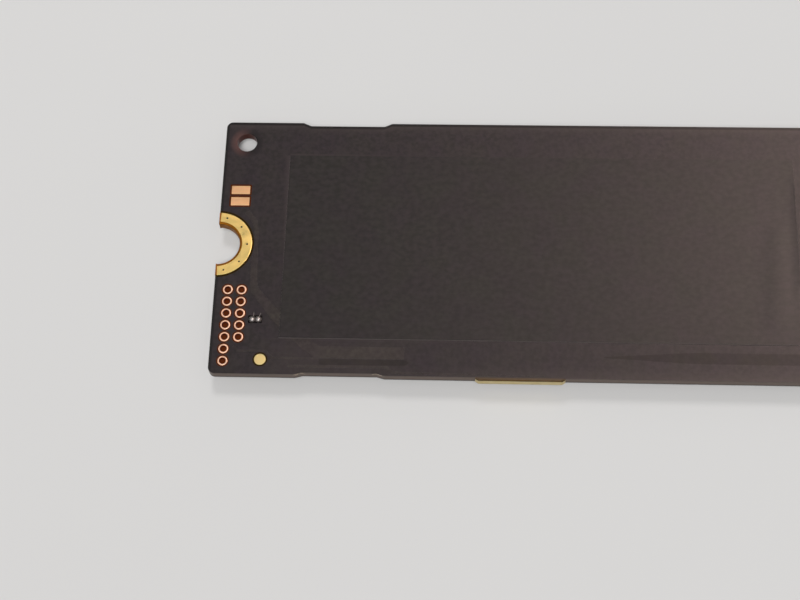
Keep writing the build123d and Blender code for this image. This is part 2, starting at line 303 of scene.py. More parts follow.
def pick_faces(piece: Piece, test: Callable[[Vector, Vector], bool]) -> None:
    """Enters edit mode with only the faces selected that pass a test.

    Args:
        piece: The object to edit.
        test: Takes a face's middle and its normal.
    """
    take(piece)
    bpy.ops.object.mode_set(mode="EDIT")
    bpy.ops.mesh.select_mode(type="FACE")
    bpy.ops.mesh.select_all(action="DESELECT")
    mesh = bmesh.from_edit_mesh(piece.data)
    for face in mesh.faces:
        face.select_set(test(face.calc_center_median(), face.normal))
    bmesh.update_edit_mesh(piece.data)


def pick_edges(piece: Piece, test: Callable[[Vector], bool]) -> None:
    """Enters edit mode with only the edges selected whose middle passes a test.

    Args:
        piece: The object to edit.
        test: Takes the middle of an edge.
    """
    take(piece)
    bpy.ops.object.mode_set(mode="EDIT")
    bpy.ops.mesh.select_mode(type="EDGE")
    bpy.ops.mesh.select_all(action="DESELECT")
    mesh = bmesh.from_edit_mesh(piece.data)
    for edge in mesh.edges:
        edge.select_set(test((edge.verts[0].co + edge.verts[1].co) / 2))
    bmesh.update_edit_mesh(piece.data)


def round_corners(piece: Piece, radius: float, segments: int) -> None:
    """Rounds the four upright edges of a block.

    Args:
        piece: The block.
        radius: Radius of the rounding.
        segments: Steps across the rounding.
    """
    heights = [vertex.co.z for vertex in piece.data.vertices]
    level = sum(heights) / len(heights)
    pick_edges(piece, lambda middle: abs(middle.z - level) < 1e-3)
    bpy.ops.mesh.bevel(offset=radius, segments=segments, affect="EDGES")
    begin()


def part_faces(piece: Piece, finish: Sequence[Material], test: Callable[[Vector, Vector], bool]) -> None:
    """Gives a piece two finishes, the second on the faces that pass a test.

    Args:
        piece: The object to dress.
        finish: The two finishes.
        test: Takes a face's middle and its normal.
    """
    for material in finish:
        piece.data.materials.append(material)
    for polygon in piece.data.polygons:
        polygon.material_index = int(test(polygon.center, polygon.normal))


def tidy_normals(piece: Piece) -> None:
    """Merges doubled corners and turns the faces of a closed shape outwards.

    Args:
        piece: The closed shape.
    """
    take(piece)
    bpy.ops.object.mode_set(mode="EDIT")
    bpy.ops.mesh.select_all(action="SELECT")
    bpy.ops.mesh.remove_doubles(threshold=0.0005)
    bpy.ops.mesh.normals_make_consistent(inside=False)
    bpy.ops.object.mode_set(mode="OBJECT")


def lathe(name: str, profile: Sequence[Spot], centre: Spot, turn: float, steps: int) -> Piece:
    """Spins a closed profile about an upright axis.

    Args:
        name: Name for the new object.
        profile: Corners of the profile as radius and height, in order round it.
        centre: Place of the axis.
        turn: Angle of the spin, in degrees, from +Y towards +X.
        steps: Faces round the spin.

    Returns:
        The turned piece, closed and facing outwards.
    """
    begin()
    whole = turn >= 360
    fill = "NOTHING" if whole else "NGON"
    bpy.ops.mesh.primitive_circle_add(vertices=len(profile), radius=1, fill_type=fill)
    piece = added(name)
    for vertex, (radius, height) in zip(piece.data.vertices, profile):
        vertex.co = (centre[0], centre[1] + radius, height)
    take(piece)
    bpy.ops.object.mode_set(mode="EDIT")
    bpy.ops.mesh.select_all(action="SELECT")
    bpy.ops.mesh.spin(steps=steps, angle=math.radians(turn), center=(*centre, 0), axis=(0, 0, 1))
    tidy_normals(piece)
    return piece


def strip(route: Sequence[Spot], widths: Sequence[float], face: Face, level: float) -> Piece:
    """Lays a flat strip along a route on one face of the board.

    Args:
        route: Points along the middle of the strip.
        widths: Width of the strip at each point.
        face: The face that the strip looks out of.
        level: Height of the strip.

    Returns:
        A flat strip whose corners are mitred at each bend.
    """
    begin()
    bpy.ops.mesh.primitive_grid_add(x_subdivisions=len(route) - 1, y_subdivisions=1, size=1)
    piece = added("strip")
    points = [Vector(point) for point in route]
    pairs = []
    for number, point in enumerate(points):
        before = (point - points[number - 1]).normalized() if number else None
        after = (points[number + 1] - point).normalized() if number < len(points) - 1 else None
        along = ((before or after) + (after or before)).normalized()
        across = Vector((-along.y, along.x))
        reach = widths[number] / 2 / max(0.5, along.dot(before or after))
        pairs.append((point - across * reach, point + across * reach))
    columns = sorted(piece.data.vertices, key=lambda v: (round(v.co.x, 5), v.co.y * face.value))
    if len(columns) != 2 * len(route):
        raise ValueError("the strip's grid does not match its route")
    for number, vertex in enumerate(columns):
        vertex.co = (*pairs[number // 2][number % 2], level)
    return piece


def join(pieces: Sequence[Piece], name: str) -> Piece:
    """Joins objects into one.

    Args:
        pieces: The objects, at the origin.
        name: Name for the joined object.

    Returns:
        The joined object.
    """
    begin()
    for piece in pieces:
        piece.select_set(True)
    bpy.context.view_layer.objects.active = pieces[0]
    if len(pieces) > 1:
        bpy.ops.object.join()
    pieces[0].name = name
    return pieces[0]


def scatter(model: Piece, places: Sequence[tuple[Point, float]], name: str) -> Piece:
    """Copies a modelled piece to each place, each copy with its own mesh, and joins the copies.

    Args:
        model: The piece, modelled at the origin; it is used up.
        places: Where each copy goes and its turn about Z in degrees.
        name: Name for the joined piece.

    Returns:
        One object with all the copies.
    """
    copies = []
    for place, turn in places:
        twin = model.copy()
        twin.data = model.data.copy()
        bpy.context.collection.objects.link(twin)
        twin.matrix_world = Matrix.Translation(place) @ Matrix.Rotation(math.radians(turn), 4, "Z")
        copies.append(twin)
    bpy.data.objects.remove(model)
    begin()
    for twin in copies:
        twin.select_set(True)
    bpy.context.view_layer.objects.active = copies[0]
    bpy.ops.object.transform_apply(location=True, rotation=True, scale=True)
    return join(copies, name)


def carve(piece: Piece, cutter: Piece) -> None:
    """Cuts one shape out of another and removes the cutter."""
    modify(piece, "BOOLEAN", object=cutter, operation="DIFFERENCE", solver="EXACT")
    bpy.data.objects.remove(cutter)


def settle(piece: Piece, materials: Sequence[Material], nodes: Sequence[str] = ()) -> Piece:
    """Scales a finished piece to metres, dresses it and puts it on the frame.

    Args:
        piece: The finished piece, in millimetres.
        materials: Its finishes, in the order of its material slots.
        nodes: CAD nodes that the piece stands for.

    Returns:
        The piece.
    """
    take(piece)
    piece.scale = (MM, MM, MM)
    bpy.ops.object.transform_apply(location=True, rotation=True, scale=True)
    if len(materials) == 1:
        piece.data.materials.clear()
    for number, material in enumerate(materials):
        if number < len(piece.data.materials):
            piece.data.materials[number] = material
        else:
            piece.data.materials.append(material)
    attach(piece, BODY)
    if nodes:
        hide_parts(*nodes)
    LOG.info("%s: %d faces", piece.name, len(piece.data.polygons))
    return piece


def dress(node: str, material: Material) -> None:
    """Gives a CAD node its finish.

    Args:
        node: Name of the CAD node.
        material: The finish.
    """
    mesh = frame["nodes"][node].data
    if not mesh.materials:
        mesh.materials.append(material)
    for number in range(len(mesh.materials)):
        mesh.materials[number] = material
    LOG.info("%s: dressed with %s", node, material.name)


# Finishes


def linear(tone: str) -> tuple[float, float, float, float]:
    """Turns an sRGB hex colour into linear light.

    Args:
        tone: Six hex digits after a hash.

    Returns:
        Red, green, blue and an alpha of one.
    """
    parts = [int(tone[i : i + 2], 16) / 255 for i in (1, 3, 5)]
    red, green, blue = (c / 12.92 if c <= 0.04045 else ((c + 0.055) / 1.055) ** 2.4 for c in parts)
    return red, green, blue, 1.0


def add(
    tree: bpy.types.NodeTree,
    kind: str,
    feeds: dict[Any, Any] | None = None,
    out: int | str | None = 0,
    **settings: Any,
) -> Any:
    """Adds a shader node with its settings, values and links.

    Args:
        tree: The node tree.
        kind: Blender's name for the node, after the word ShaderNode.
        feeds: For each input, the socket that feeds it or its value.
        out: The output that is wanted, by number or name, or None for the whole node.
        **settings: Values of the node's properties.

    Returns:
        That output or the whole node.
    """
    node = tree.nodes.new(f"ShaderNode{kind}")
    for key, value in settings.items():
        setattr(node, key, value)
    for key, value in (feeds or {}).items():
        if isinstance(value, bpy.types.NodeSocket):
            tree.links.new(value, node.inputs[key])
        else:
            node.inputs[key].default_value = value
    return node if out is None else node.outputs[out]


def start_material(name: str) -> tuple[Material, Any, Any, Any]:
    """Starts a material whose patterns are measured in millimetres of the object's own space.

    Args:
        name: Name of the real material.

    Returns:
        The material, its node tree, its shader node and the coordinates in millimetres.
    """
    material = bpy.data.materials.new(name)
    material.use_nodes = True
    tree = material.node_tree
    place = add(tree, "TexCoord", out="Object")
    scaled = add(tree, "VectorMath", {0: place, "Scale": 1 / MM}, operation="SCALE")
    return material, tree, tree.nodes["Principled BSDF"], scaled


def within(tree: Any, *spans: tuple[Any, float, float], most: Any = 1.0, **settings: Any) -> Any:
    """Finds how far a place lies inside several spans at once, each fading in along its own measure.

    Args:
        tree: The node tree.
        *spans: For each span the measure's socket, where the span starts and where it is full.
        most: The share where every span is full, as a number or a socket.
        **settings: Values of the fading nodes' properties.

    Returns:
        The share's socket.
    """
    share = most
    for measure, start, full in spans:
        feeds = {"Value": measure, "From Min": start, "From Max": full}
        inside = add(tree, "MapRange", feeds, **settings)
        share = add(tree, "Math", {0: share, 1: inside}, operation="MULTIPLY")
    return share


def paint(tree: Any, base: Any, *layers: tuple[Any, Any]) -> Any:
    """Lays colours over one another.

    Args:
        tree: The node tree.
        base: The lowest colour, as a hex tone or a socket.
        *layers: For each layer above it the socket of its share and its colour.

    Returns:
        The socket of the painted colour.
    """
    for share, colour in layers:
        first, second = (linear(c) if isinstance(c, str) else c for c in (base, colour))
        base = add(tree, "Mix", {"Factor": share, 6: first, 7: second}, 2, data_type="RGBA")
    return base


def speckle(tree: Any, colour: Any, grain: Any, share: float) -> Any:
    """Makes a colour lighter and darker by a fine grain.

    Args:
        tree: The node tree.
        colour: The colour's socket.
        grain: The grain's socket, about 0.5 on average.
        share: The largest change, as a share of the colour.

    Returns:
        The grained colour's socket.
    """
    low, high = GRAIN_SPAN
    reach = {"Value": grain, "From Min": low, "From Max": high, "To Min": 1 - share, "To Max": 1 + share}
    gain = add(tree, "MapRange", reach)
    return add(tree, "VectorMath", {0: colour, 1: gain}, operation="MULTIPLY")


def cover(
    tree: Any, shader: Any, colour: Any, cloud: Any, rough: Spot, relief: tuple[Any, float], **values: float
) -> None:
    """Gives a shader its colour, a roughness that follows soft clouds, a fine relief and plain values.

    Args:
        tree: The node tree.
        shader: The shader node.
        colour: The colour's socket.
        cloud: The clouds' socket.
        rough: Roughness in the low and in the high parts of the clouds.
        relief: The socket of the relief's height, and its depth in millimetres.
        **values: Plain values of other sockets, named with _ for each space.
    """
    low, high = ROUGH_SPAN
    spread = {"Value": cloud, "From Min": low, "From Max": high, "To Min": rough[0], "To Max": rough[1]}
    bump = {"Height": relief[0], "Strength": 1.0, "Distance": relief[1] * MM}
    tree.links.new(colour, shader.inputs["Base Color"])
    tree.links.new(add(tree, "MapRange", spread), shader.inputs["Roughness"])
    tree.links.new(add(tree, "Bump", bump), shader.inputs["Normal"])
    for key, value in values.items():
        shader.inputs[key.replace("_", " ")].default_value = value


# Parts of a noise pattern's range that the grain, the roughness and the clouds of a coating use
GRAIN_SPAN = (0.34, 0.66)
ROUGH_SPAN = (0.3, 0.7)
CLOUD_SPAN = (0.36, 0.64)
# Width of a border that looks sharp
SHARP = 0.001
# Middle of the tooling hole, and the near edge beyond which the plated tab stands out
TOOLING_HOLE = (MOUNT_END + 1.75, 9.15)
TAB_LINE = -11.0


@dataclass(frozen=True)
class Metal:
    """A plated, soldered or rolled metal: a clear reflection broken by soft patches and a fine grain."""

    name: str
    bright: str
    dull: str
    roughness: float
    rough_spread: float = 0.08
    patch_mm: float = 0.9
    grain_mm: float = 0.06
    grain_depth_mm: float = 0.0008
    grain: Grain = Grain.EVEN

    def make(self) -> Material:
        """Builds the node material.

        Returns:
            The material.
        """
        material, tree, shader, place = start_material(self.name)
        patches = add(tree, "TexNoise", {"Vector": place, "Scale": 1 / self.patch_mm, "Detail": 4.0})
        run = add(tree, "VectorMath", {0: place, 1: self.grain.value}, operation="MULTIPLY")
        fine = add(tree, "TexNoise", {"Vector": run, "Scale": 1 / self.grain_mm, "Detail": 2.0})
        colour = paint(tree, self.dull, (patches, self.bright))
        rough = (self.roughness + self.rough_spread, self.roughness - self.rough_spread)
        cover(tree, shader, colour, patches, rough, (fine, self.grain_depth_mm), Metallic=1.0)
        return material


@dataclass(frozen=True)
class Fired:
    """A moulded or fired body: filler grain in an even binder, a little paler where the filler shows."""

    name: str
    tone: str
    fleck: str
    roughness: float
    rough_spread: float = 0.06
    fleck_share: float = 0.35
    fleck_span: Spot = (0.18, 0.42)
    fleck_mm: float = 0.07
    cloud_mm: float = 1.4
    grain_depth_mm: float = 0.003
    specular: float = 0.5

    def make(self) -> Material:
        """Builds the node material.

        Returns:
            The material.
        """
        material, tree, shader, place = start_material(self.name)
        grit = add(tree, "TexNoise", {"Vector": place, "Scale": 1 / self.fleck_mm, "Detail": 3.0})
        cloud = add(tree, "TexNoise", {"Vector": place, "Scale": 1 / self.cloud_mm, "Detail": 2.0})
        both = add(tree, "Math", {0: grit, 1: cloud}, operation="MULTIPLY")
        shown = within(tree, (both, *self.fleck_span), most=self.fleck_share)
        colour = paint(tree, self.tone, (shown, self.fleck))
        rough = (self.roughness - self.rough_spread, self.roughness + self.rough_spread)
        relief = (grit, self.grain_depth_mm)
        cover(tree, shader, colour, cloud, rough, relief, Specular_IOR_Level=self.specular)
        return material


@dataclass(frozen=True)
class CoatedLaminate:
    """Black coating sprayed on brown glass-epoxy laminate.

    The coating is a near-black with a fine pale and dark grain, soft warm clouds and a few pale specks. It
    is paler along the long edges and in the near margin beside the film. Painted highlights run beside the
    film, the painted light and shade of a dish lie round the tooling hole, and a thin line of painted shade
    runs along the left and far edges; faces that look down get a lighter coat as painted light. Sawn edges
    and hole walls show the brown glass layers; windows in the coating are nearly black, their dark tone
    deepened as painted shade. Spans of places are in millimetres, from where a trait starts to where it is
    full.
    """

    name: str = "solder mask on glass epoxy"
    coating: str = "#211b1f"
    coating_worn: str = "#211d1d"
    coating_below_lit: str = "#2b2627"
    raised: bool = False
    roughness: float = 0.4
    rough_spread: float = 0.012
    specular: float = 0.3
    cloud_mm: float = 1.7
    peel_mm: float = 0.32
    peel_depth_mm: float = 0.003
    peel_share: float = 0.32
    speck: str = "#7d7773"
    speck_mm: float = 7.0
    speck_span: Spot = (0.013, 0.006)
    pale_coat: str = "#453d3a"
    far_pale: Spot = (10.0, 11.9)
    far_pale_share: float = 0.9
    near_pale: Spot = (-9.9, -11.7)
    near_pale_start: Spot = (-27.0, -19.0)
    near_pale_share: float = 0.5
    handled_across: Spot = (FILM.low.y - 0.1, FILM.low.y - 0.7)
    handled_start: Spot = (-36.5, -34.0)
    handled_stop: Spot = (-24.0, -28.0)
    handled_share: float = 0.17
    recess_middle: float = MOUNT_END + 9.945
    recess_half: Spot = (3.63, 3.0)
    recess_depth: float = 0.28
    edge_shade_line: str = "#050405"
    far_line: Spot = (10.72, 10.8)
    end_line: Spot = (MOUNT_END + 0.27, MOUNT_END + 0.18)
    film_edge_highlight: str = "#362e2f"
    ridge_across: Spot = (-3.0, 8.0)
    ridge_widths: Spot = (0.06, 0.66)
    ridge_start: Spot = (-4.0, -1.5)
    ridge_over: float = 0.03
    near_line: Spot = (0.3, 0.05)
    near_line_fade: Spot = (-19.0, -28.0)
    near_line_shares: Spot = (0.125, 0.5)
    near_line_start: Spot = (FILM.low.x - 1.5, FILM.low.x + 0.5)
    near_line_stop: Spot = (-14.0, -24.0)
    film_line: Spot = (0.22, 0.05)
    film_line_stop: Spot = (FILM.low.x + 11.0, FILM.low.x + 1.0)
    film_line_share: float = 0.6
    dish_lit_red: str = "#4a2f2c"
    dish_shade_dark: str = "#0f0b0b"
    halo: Spot = (1.45, 0.8)
    halo_left: Spot = (TOOLING_HOLE[0] + 0.4, TOOLING_HOLE[0] - 0.7)
    halo_share: float = 0.95
    edge_pale: str = "#5c4b3f"
    edge_mid: str = "#4a3b31"
    edge_dark: str = "#281e1a"
    edge_run: Point = (0.9, 0.9, 6.0)
    edge_mottle: float = 0.16
    hole_wall: str = "#4d231a"
    hole_drilled: Spot = (1.6, 1.3)
    hole_dish: Spot = (1.75, 1.6)
    bare_resin_and_shade: str = "#080605"
    bare_depth: Spot = (0.012, 0.02)
    tab_resin: str = "#4b3c2a"

    def make(self) -> Material:
        """Builds the node material.

        Returns:
            The material.
        """
        material, tree, shader, place = start_material(self.name)
        x, y, z = add(tree, "SeparateXYZ", {0: place}, None).outputs
        cloud = add(tree, "TexNoise", {"Vector": place, "Scale": 1 / self.cloud_mm, "Detail": 6.0})
        peel = add(tree, "TexNoise", {"Vector": place, "Scale": 1 / self.peel_mm, "Detail": 2.0})
        coat = paint(tree, self.coating, (within(tree, (cloud, *CLOUD_SPAN)), self.coating_worn))
        coat = speckle(tree, coat, peel, self.peel_share)
        # Near margin beside the film: handled, and so a little paler towards the screw end
        spans = ((y, *self.handled_across), (x, *self.handled_start), (x, *self.handled_stop))
        handled = within(tree, *spans, most=self.handled_share)
        cells = {"Vector": place, "Scale": 1 / self.speck_mm, "Randomness": 1.0}
        dust = add(tree, "TexVoronoi", cells, "Distance")
        specks = within(tree, (dust, *self.speck_span))
        colour = paint(tree, coat, (handled, self.pale_coat), (specks, self.speck))
        if not self.raised:
            colour = self.borders(tree, x, y, colour)
            colour = self.bare_places(tree, place, y, z, colour)
        rough = (self.roughness - self.rough_spread, self.roughness + self.rough_spread)
        relief = (peel, self.peel_depth_mm)
        cover(tree, shader, colour, cloud, rough, relief, Specular_IOR_Level=self.specular)
        return material

    def borders(self, tree: Any, x: Any, y: Any, coat: Any) -> Any:
        """Makes the coating paler near the long edges, and paints highlights beside the film, light and
        shade round the tooling hole and a dark line of shade along the left and far edges.

        Args:
            tree: The node tree.
            x: The place along the card, in millimetres.
            y: The place across the card, in millimetres.
            coat: The coating's colour.

        Returns:
            The shaded colour.
        """
        # Distance to the far edge, which steps in at the far recess
        along = add(tree, "Math", {0: x, 1: self.recess_middle}, operation="SUBTRACT")
        off = add(tree, "Math", {0: along}, operation="ABSOLUTE")
        step = within(tree, (off, *self.recess_half), most=self.recess_depth)
        far = add(tree, "Math", {0: y, 1: step}, operation="ADD")
        # Paler towards the far edge, and towards the near one past the near recess
        soft = {"interpolation_type": "SMOOTHSTEP"}
        far_pale = within(tree, (far, *self.far_pale), most=self.far_pale_share, **soft)
        past = within(tree, (x, *self.near_pale_start), most=self.near_pale_share)
        near_pale = within(tree, (y, *self.near_pale), most=past, **soft)
        pale_margins = add(tree, "Math", {0: far_pale, 1: near_pale}, operation="MAXIMUM")
        # Painted highlight along the film's left margin, standing in for the paler ridge where the coating
        # is pressed up; narrower towards the near side
        feeds = {"From Min": self.ridge_across[0], "From Max": self.ridge_across[1]}
        feeds |= {"Value": y, "To Min": self.ridge_widths[0], "To Max": self.ridge_widths[1]}
        width = add(tree, "MapRange", feeds)
        gap = add(tree, "Math", {0: FILM.low.x, 1: x}, operation="SUBTRACT")
        part = add(tree, "Math", {0: gap, 1: width}, operation="DIVIDE")
        under = FILM.low.x + self.ridge_over
        ridge = within(
            tree,
            (part, 1.0, 0.0),
            (part, 1.0, 0.0),
            (x, under + SHARP, under),
            (y, *self.ridge_start),
            (y, FILM.high.y + SHARP, FILM.high.y),
        )
        # Painted highlight: a paler line along the film's near edge that dies out to the right
        below = add(tree, "Math", {0: FILM.low.y, 1: y}, operation="SUBTRACT")
        feeds = {"From Min": self.near_line_fade[0], "From Max": self.near_line_fade[1]}
        feeds |= {"Value": x, "To Min": self.near_line_shares[0], "To Max": self.near_line_shares[1]}
        fading = add(tree, "MapRange", feeds)
        spans = ((x, *self.near_line_start), (x, *self.near_line_stop), (below, 0.0, SHARP))
        near_line = within(tree, (below, *self.near_line), *spans, most=fading)
        # A shorter painted highlight along its far edge
        above = add(tree, "Math", {0: y, 1: FILM.high.y}, operation="SUBTRACT")
        spans = ((x, *self.film_line_stop), (x, FILM.low.x, FILM.low.x + SHARP), (above, 0.0, SHARP))
        film_line = within(tree, (above, *self.film_line), *spans, most=self.film_line_share)
        # Painted light and shade of the dish round the tooling hole: a lit reddish side at the left, a
        # shaded dark side at the right
        spot = add(tree, "CombineXYZ", {0: x, 1: y})
        ends = {0: spot, 1: (*TOOLING_HOLE, 0.0)}
        distance = add(tree, "VectorMath", ends, "Value", operation="DISTANCE")
        near_hole = within(tree, (distance, *self.halo), most=self.halo_share)
        halo = paint(tree, self.dish_shade_dark, (within(tree, (x, *self.halo_left)), self.dish_lit_red))
        # Painted shade: a thin dark line along the left and far edges, where the coating's rolled edge turns
        # from the light
        lines = {0: within(tree, (far, *self.far_line)), 1: within(tree, (x, *self.end_line))}
        rim = add(tree, "Math", lines, operation="MAXIMUM")
        pale = [(share, self.film_edge_highlight) for share in (ridge, near_line, film_line)]
        return paint(tree, coat, (pale_margins, self.pale_coat), *pale, (near_hole, halo), (rim, self.edge_shade_line))

    def bare_places(self, tree: Any, place: Any, y: Any, z: Any, coat: Any) -> Any:
        """Adds the laminate where the coating ends: sawn edges, hole walls, windows and the plated tab.

        Args:
            tree: The node tree.
            place: The coordinates in millimetres.
            y: The place across the card, in millimetres.
            z: The height, in millimetres.
            coat: The coating's colour.

        Returns:
            The colour of the whole board.
        """
        facing = add(tree, "TexCoord", out="Normal")
        tilt = add(tree, "SeparateXYZ", {0: facing}, "Z")
        flat = within(tree, (add(tree, "Math", {0: tilt}, operation="ABSOLUTE"), 0.5, 0.7))
        # Painted light: faces that look down get a lighter coat, so that the chip face does not render
        # nearly black under the lamps from below
        coat = paint(tree, coat, (within(tree, (tilt, 0.0, -SHARP)), self.coating_below_lit))
        # Sawn edge: a dark line at the foot, paler above it, mottled along the saw cut
        stretch = add(tree, "VectorMath", {0: place, 1: self.edge_run}, operation="MULTIPLY")
        mottle = add(tree, "TexNoise", {"Vector": stretch, "Scale": 1.6, "Detail": 4.0})
        level = within(tree, (z, BOARD.low.z, BOARD.low.z + 0.8))
        shifted = add(tree, "Math", {0: mottle, 1: self.edge_mottle, 2: level}, operation="MULTIPLY_ADD")
        layers = add(tree, "ValToRGB", {"Fac": shifted}, None)
        stops = ((0.1, self.edge_dark), (0.3, self.edge_mid), (0.62, self.edge_pale), (0.95, self.edge_mid))
        elements = layers.color_ramp.elements
        while len(elements) < len(stops):
            elements.new(0.5)
        for element, (position, tone) in zip(elements, stops):
            element.position = position
            element.color = linear(tone)
        # Hole wall: the drill leaves the resin redder than the saw does
        ends = {0: place, 1: (*TOOLING_HOLE, BOARD.low.z)}
        hole = add(tree, "VectorMath", ends, "Value", operation="DISTANCE")
        sawn = paint(tree, layers.outputs[0], (within(tree, (hole, *self.hole_drilled)), self.hole_wall))
        # Windows: level faces below the coating's own, away from the dish round the hole; their near-black
        # is the resin's own dark tone deepened as painted shade of the coating's step
        off_middle = add(tree, "Math", {0: z, 1: BOARD.middle.z}, operation="SUBTRACT")
        height = add(tree, "Math", {0: off_middle}, operation="ABSOLUTE")
        start, full = (BOARD.size.z / 2 - depth for depth in self.bare_depth)
        sunk = within(tree, (height, start, full))
        dished = within(tree, (hole, *self.hole_dish))
        beyond = within(tree, (y, TAB_LINE + 0.01, TAB_LINE - 0.01))
        level_face = paint(tree, coat, (sunk, self.bare_resin_and_shade), (dished, coat), (beyond, self.tab_resin))
        return paint(tree, sawn, (flat, level_face))


@dataclass(frozen=True)
class PolyesterFilm:
    """Matte black polyester film: near-black with a fine grain drawn along it, and a cut edge painted paler,
    partly its own tone and partly a painted highlight.
    """

    name: str = "matte polyester film"
    tone: str = "#1d191b"
    worn: str = "#1c1b19"
    cut_edge_and_highlight: str = "#857d7a"
    cut_tilt: Spot = (0.9, 0.6)
    roughness: float = 0.4
    rough_spread: float = 0.012
    specular: float = 0.3
    cloud_mm: float = 2.2
    grain_mm: float = 0.36
    grain_depth_mm: float = 0.003
    grain_length: float = 1.3
    grain_share: float = 0.36

    def make(self) -> Material:
        """Builds the node material.

        Returns:
            The material.
        """
        material, tree, shader, place = start_material(self.name)
        cloud = add(tree, "TexNoise", {"Vector": place, "Scale": 1 / self.cloud_mm, "Detail": 6.0})
        face = paint(tree, self.tone, (within(tree, (cloud, *CLOUD_SPAN)), self.worn))
        drawn = (1 / self.grain_length, 1.0, 1.0)
        along = add(tree, "VectorMath", {0: place, 1: drawn}, operation="MULTIPLY")
        grain = add(tree, "TexNoise", {"Vector": along, "Scale": 1 / self.grain_mm, "Detail": 3.0})
        face = speckle(tree, face, grain, self.grain_share)
        facing = add(tree, "TexCoord", out="Normal")
        tilt = add(tree, "SeparateXYZ", {0: facing}, "Z")
        # The cut edge is painted paler: partly its own tone, partly a painted highlight that makes up for
        # the sheen the film's edge blocks
        colour = paint(tree, face, (within(tree, (tilt, *self.cut_tilt)), self.cut_edge_and_highlight))
        rough = (self.roughness - self.rough_spread, self.roughness + self.rough_spread)
        relief = (grain, self.grain_depth_mm)
        cover(tree, shader, colour, cloud, rough, relief, Specular_IOR_Level=self.specular)
        return material


def once(finish: Metal | Fired | CoatedLaminate | PolyesterFilm) -> Any:
    """Has a finish made once, when the card's finishes are gathered."""
    return field(default_factory=finish.make)


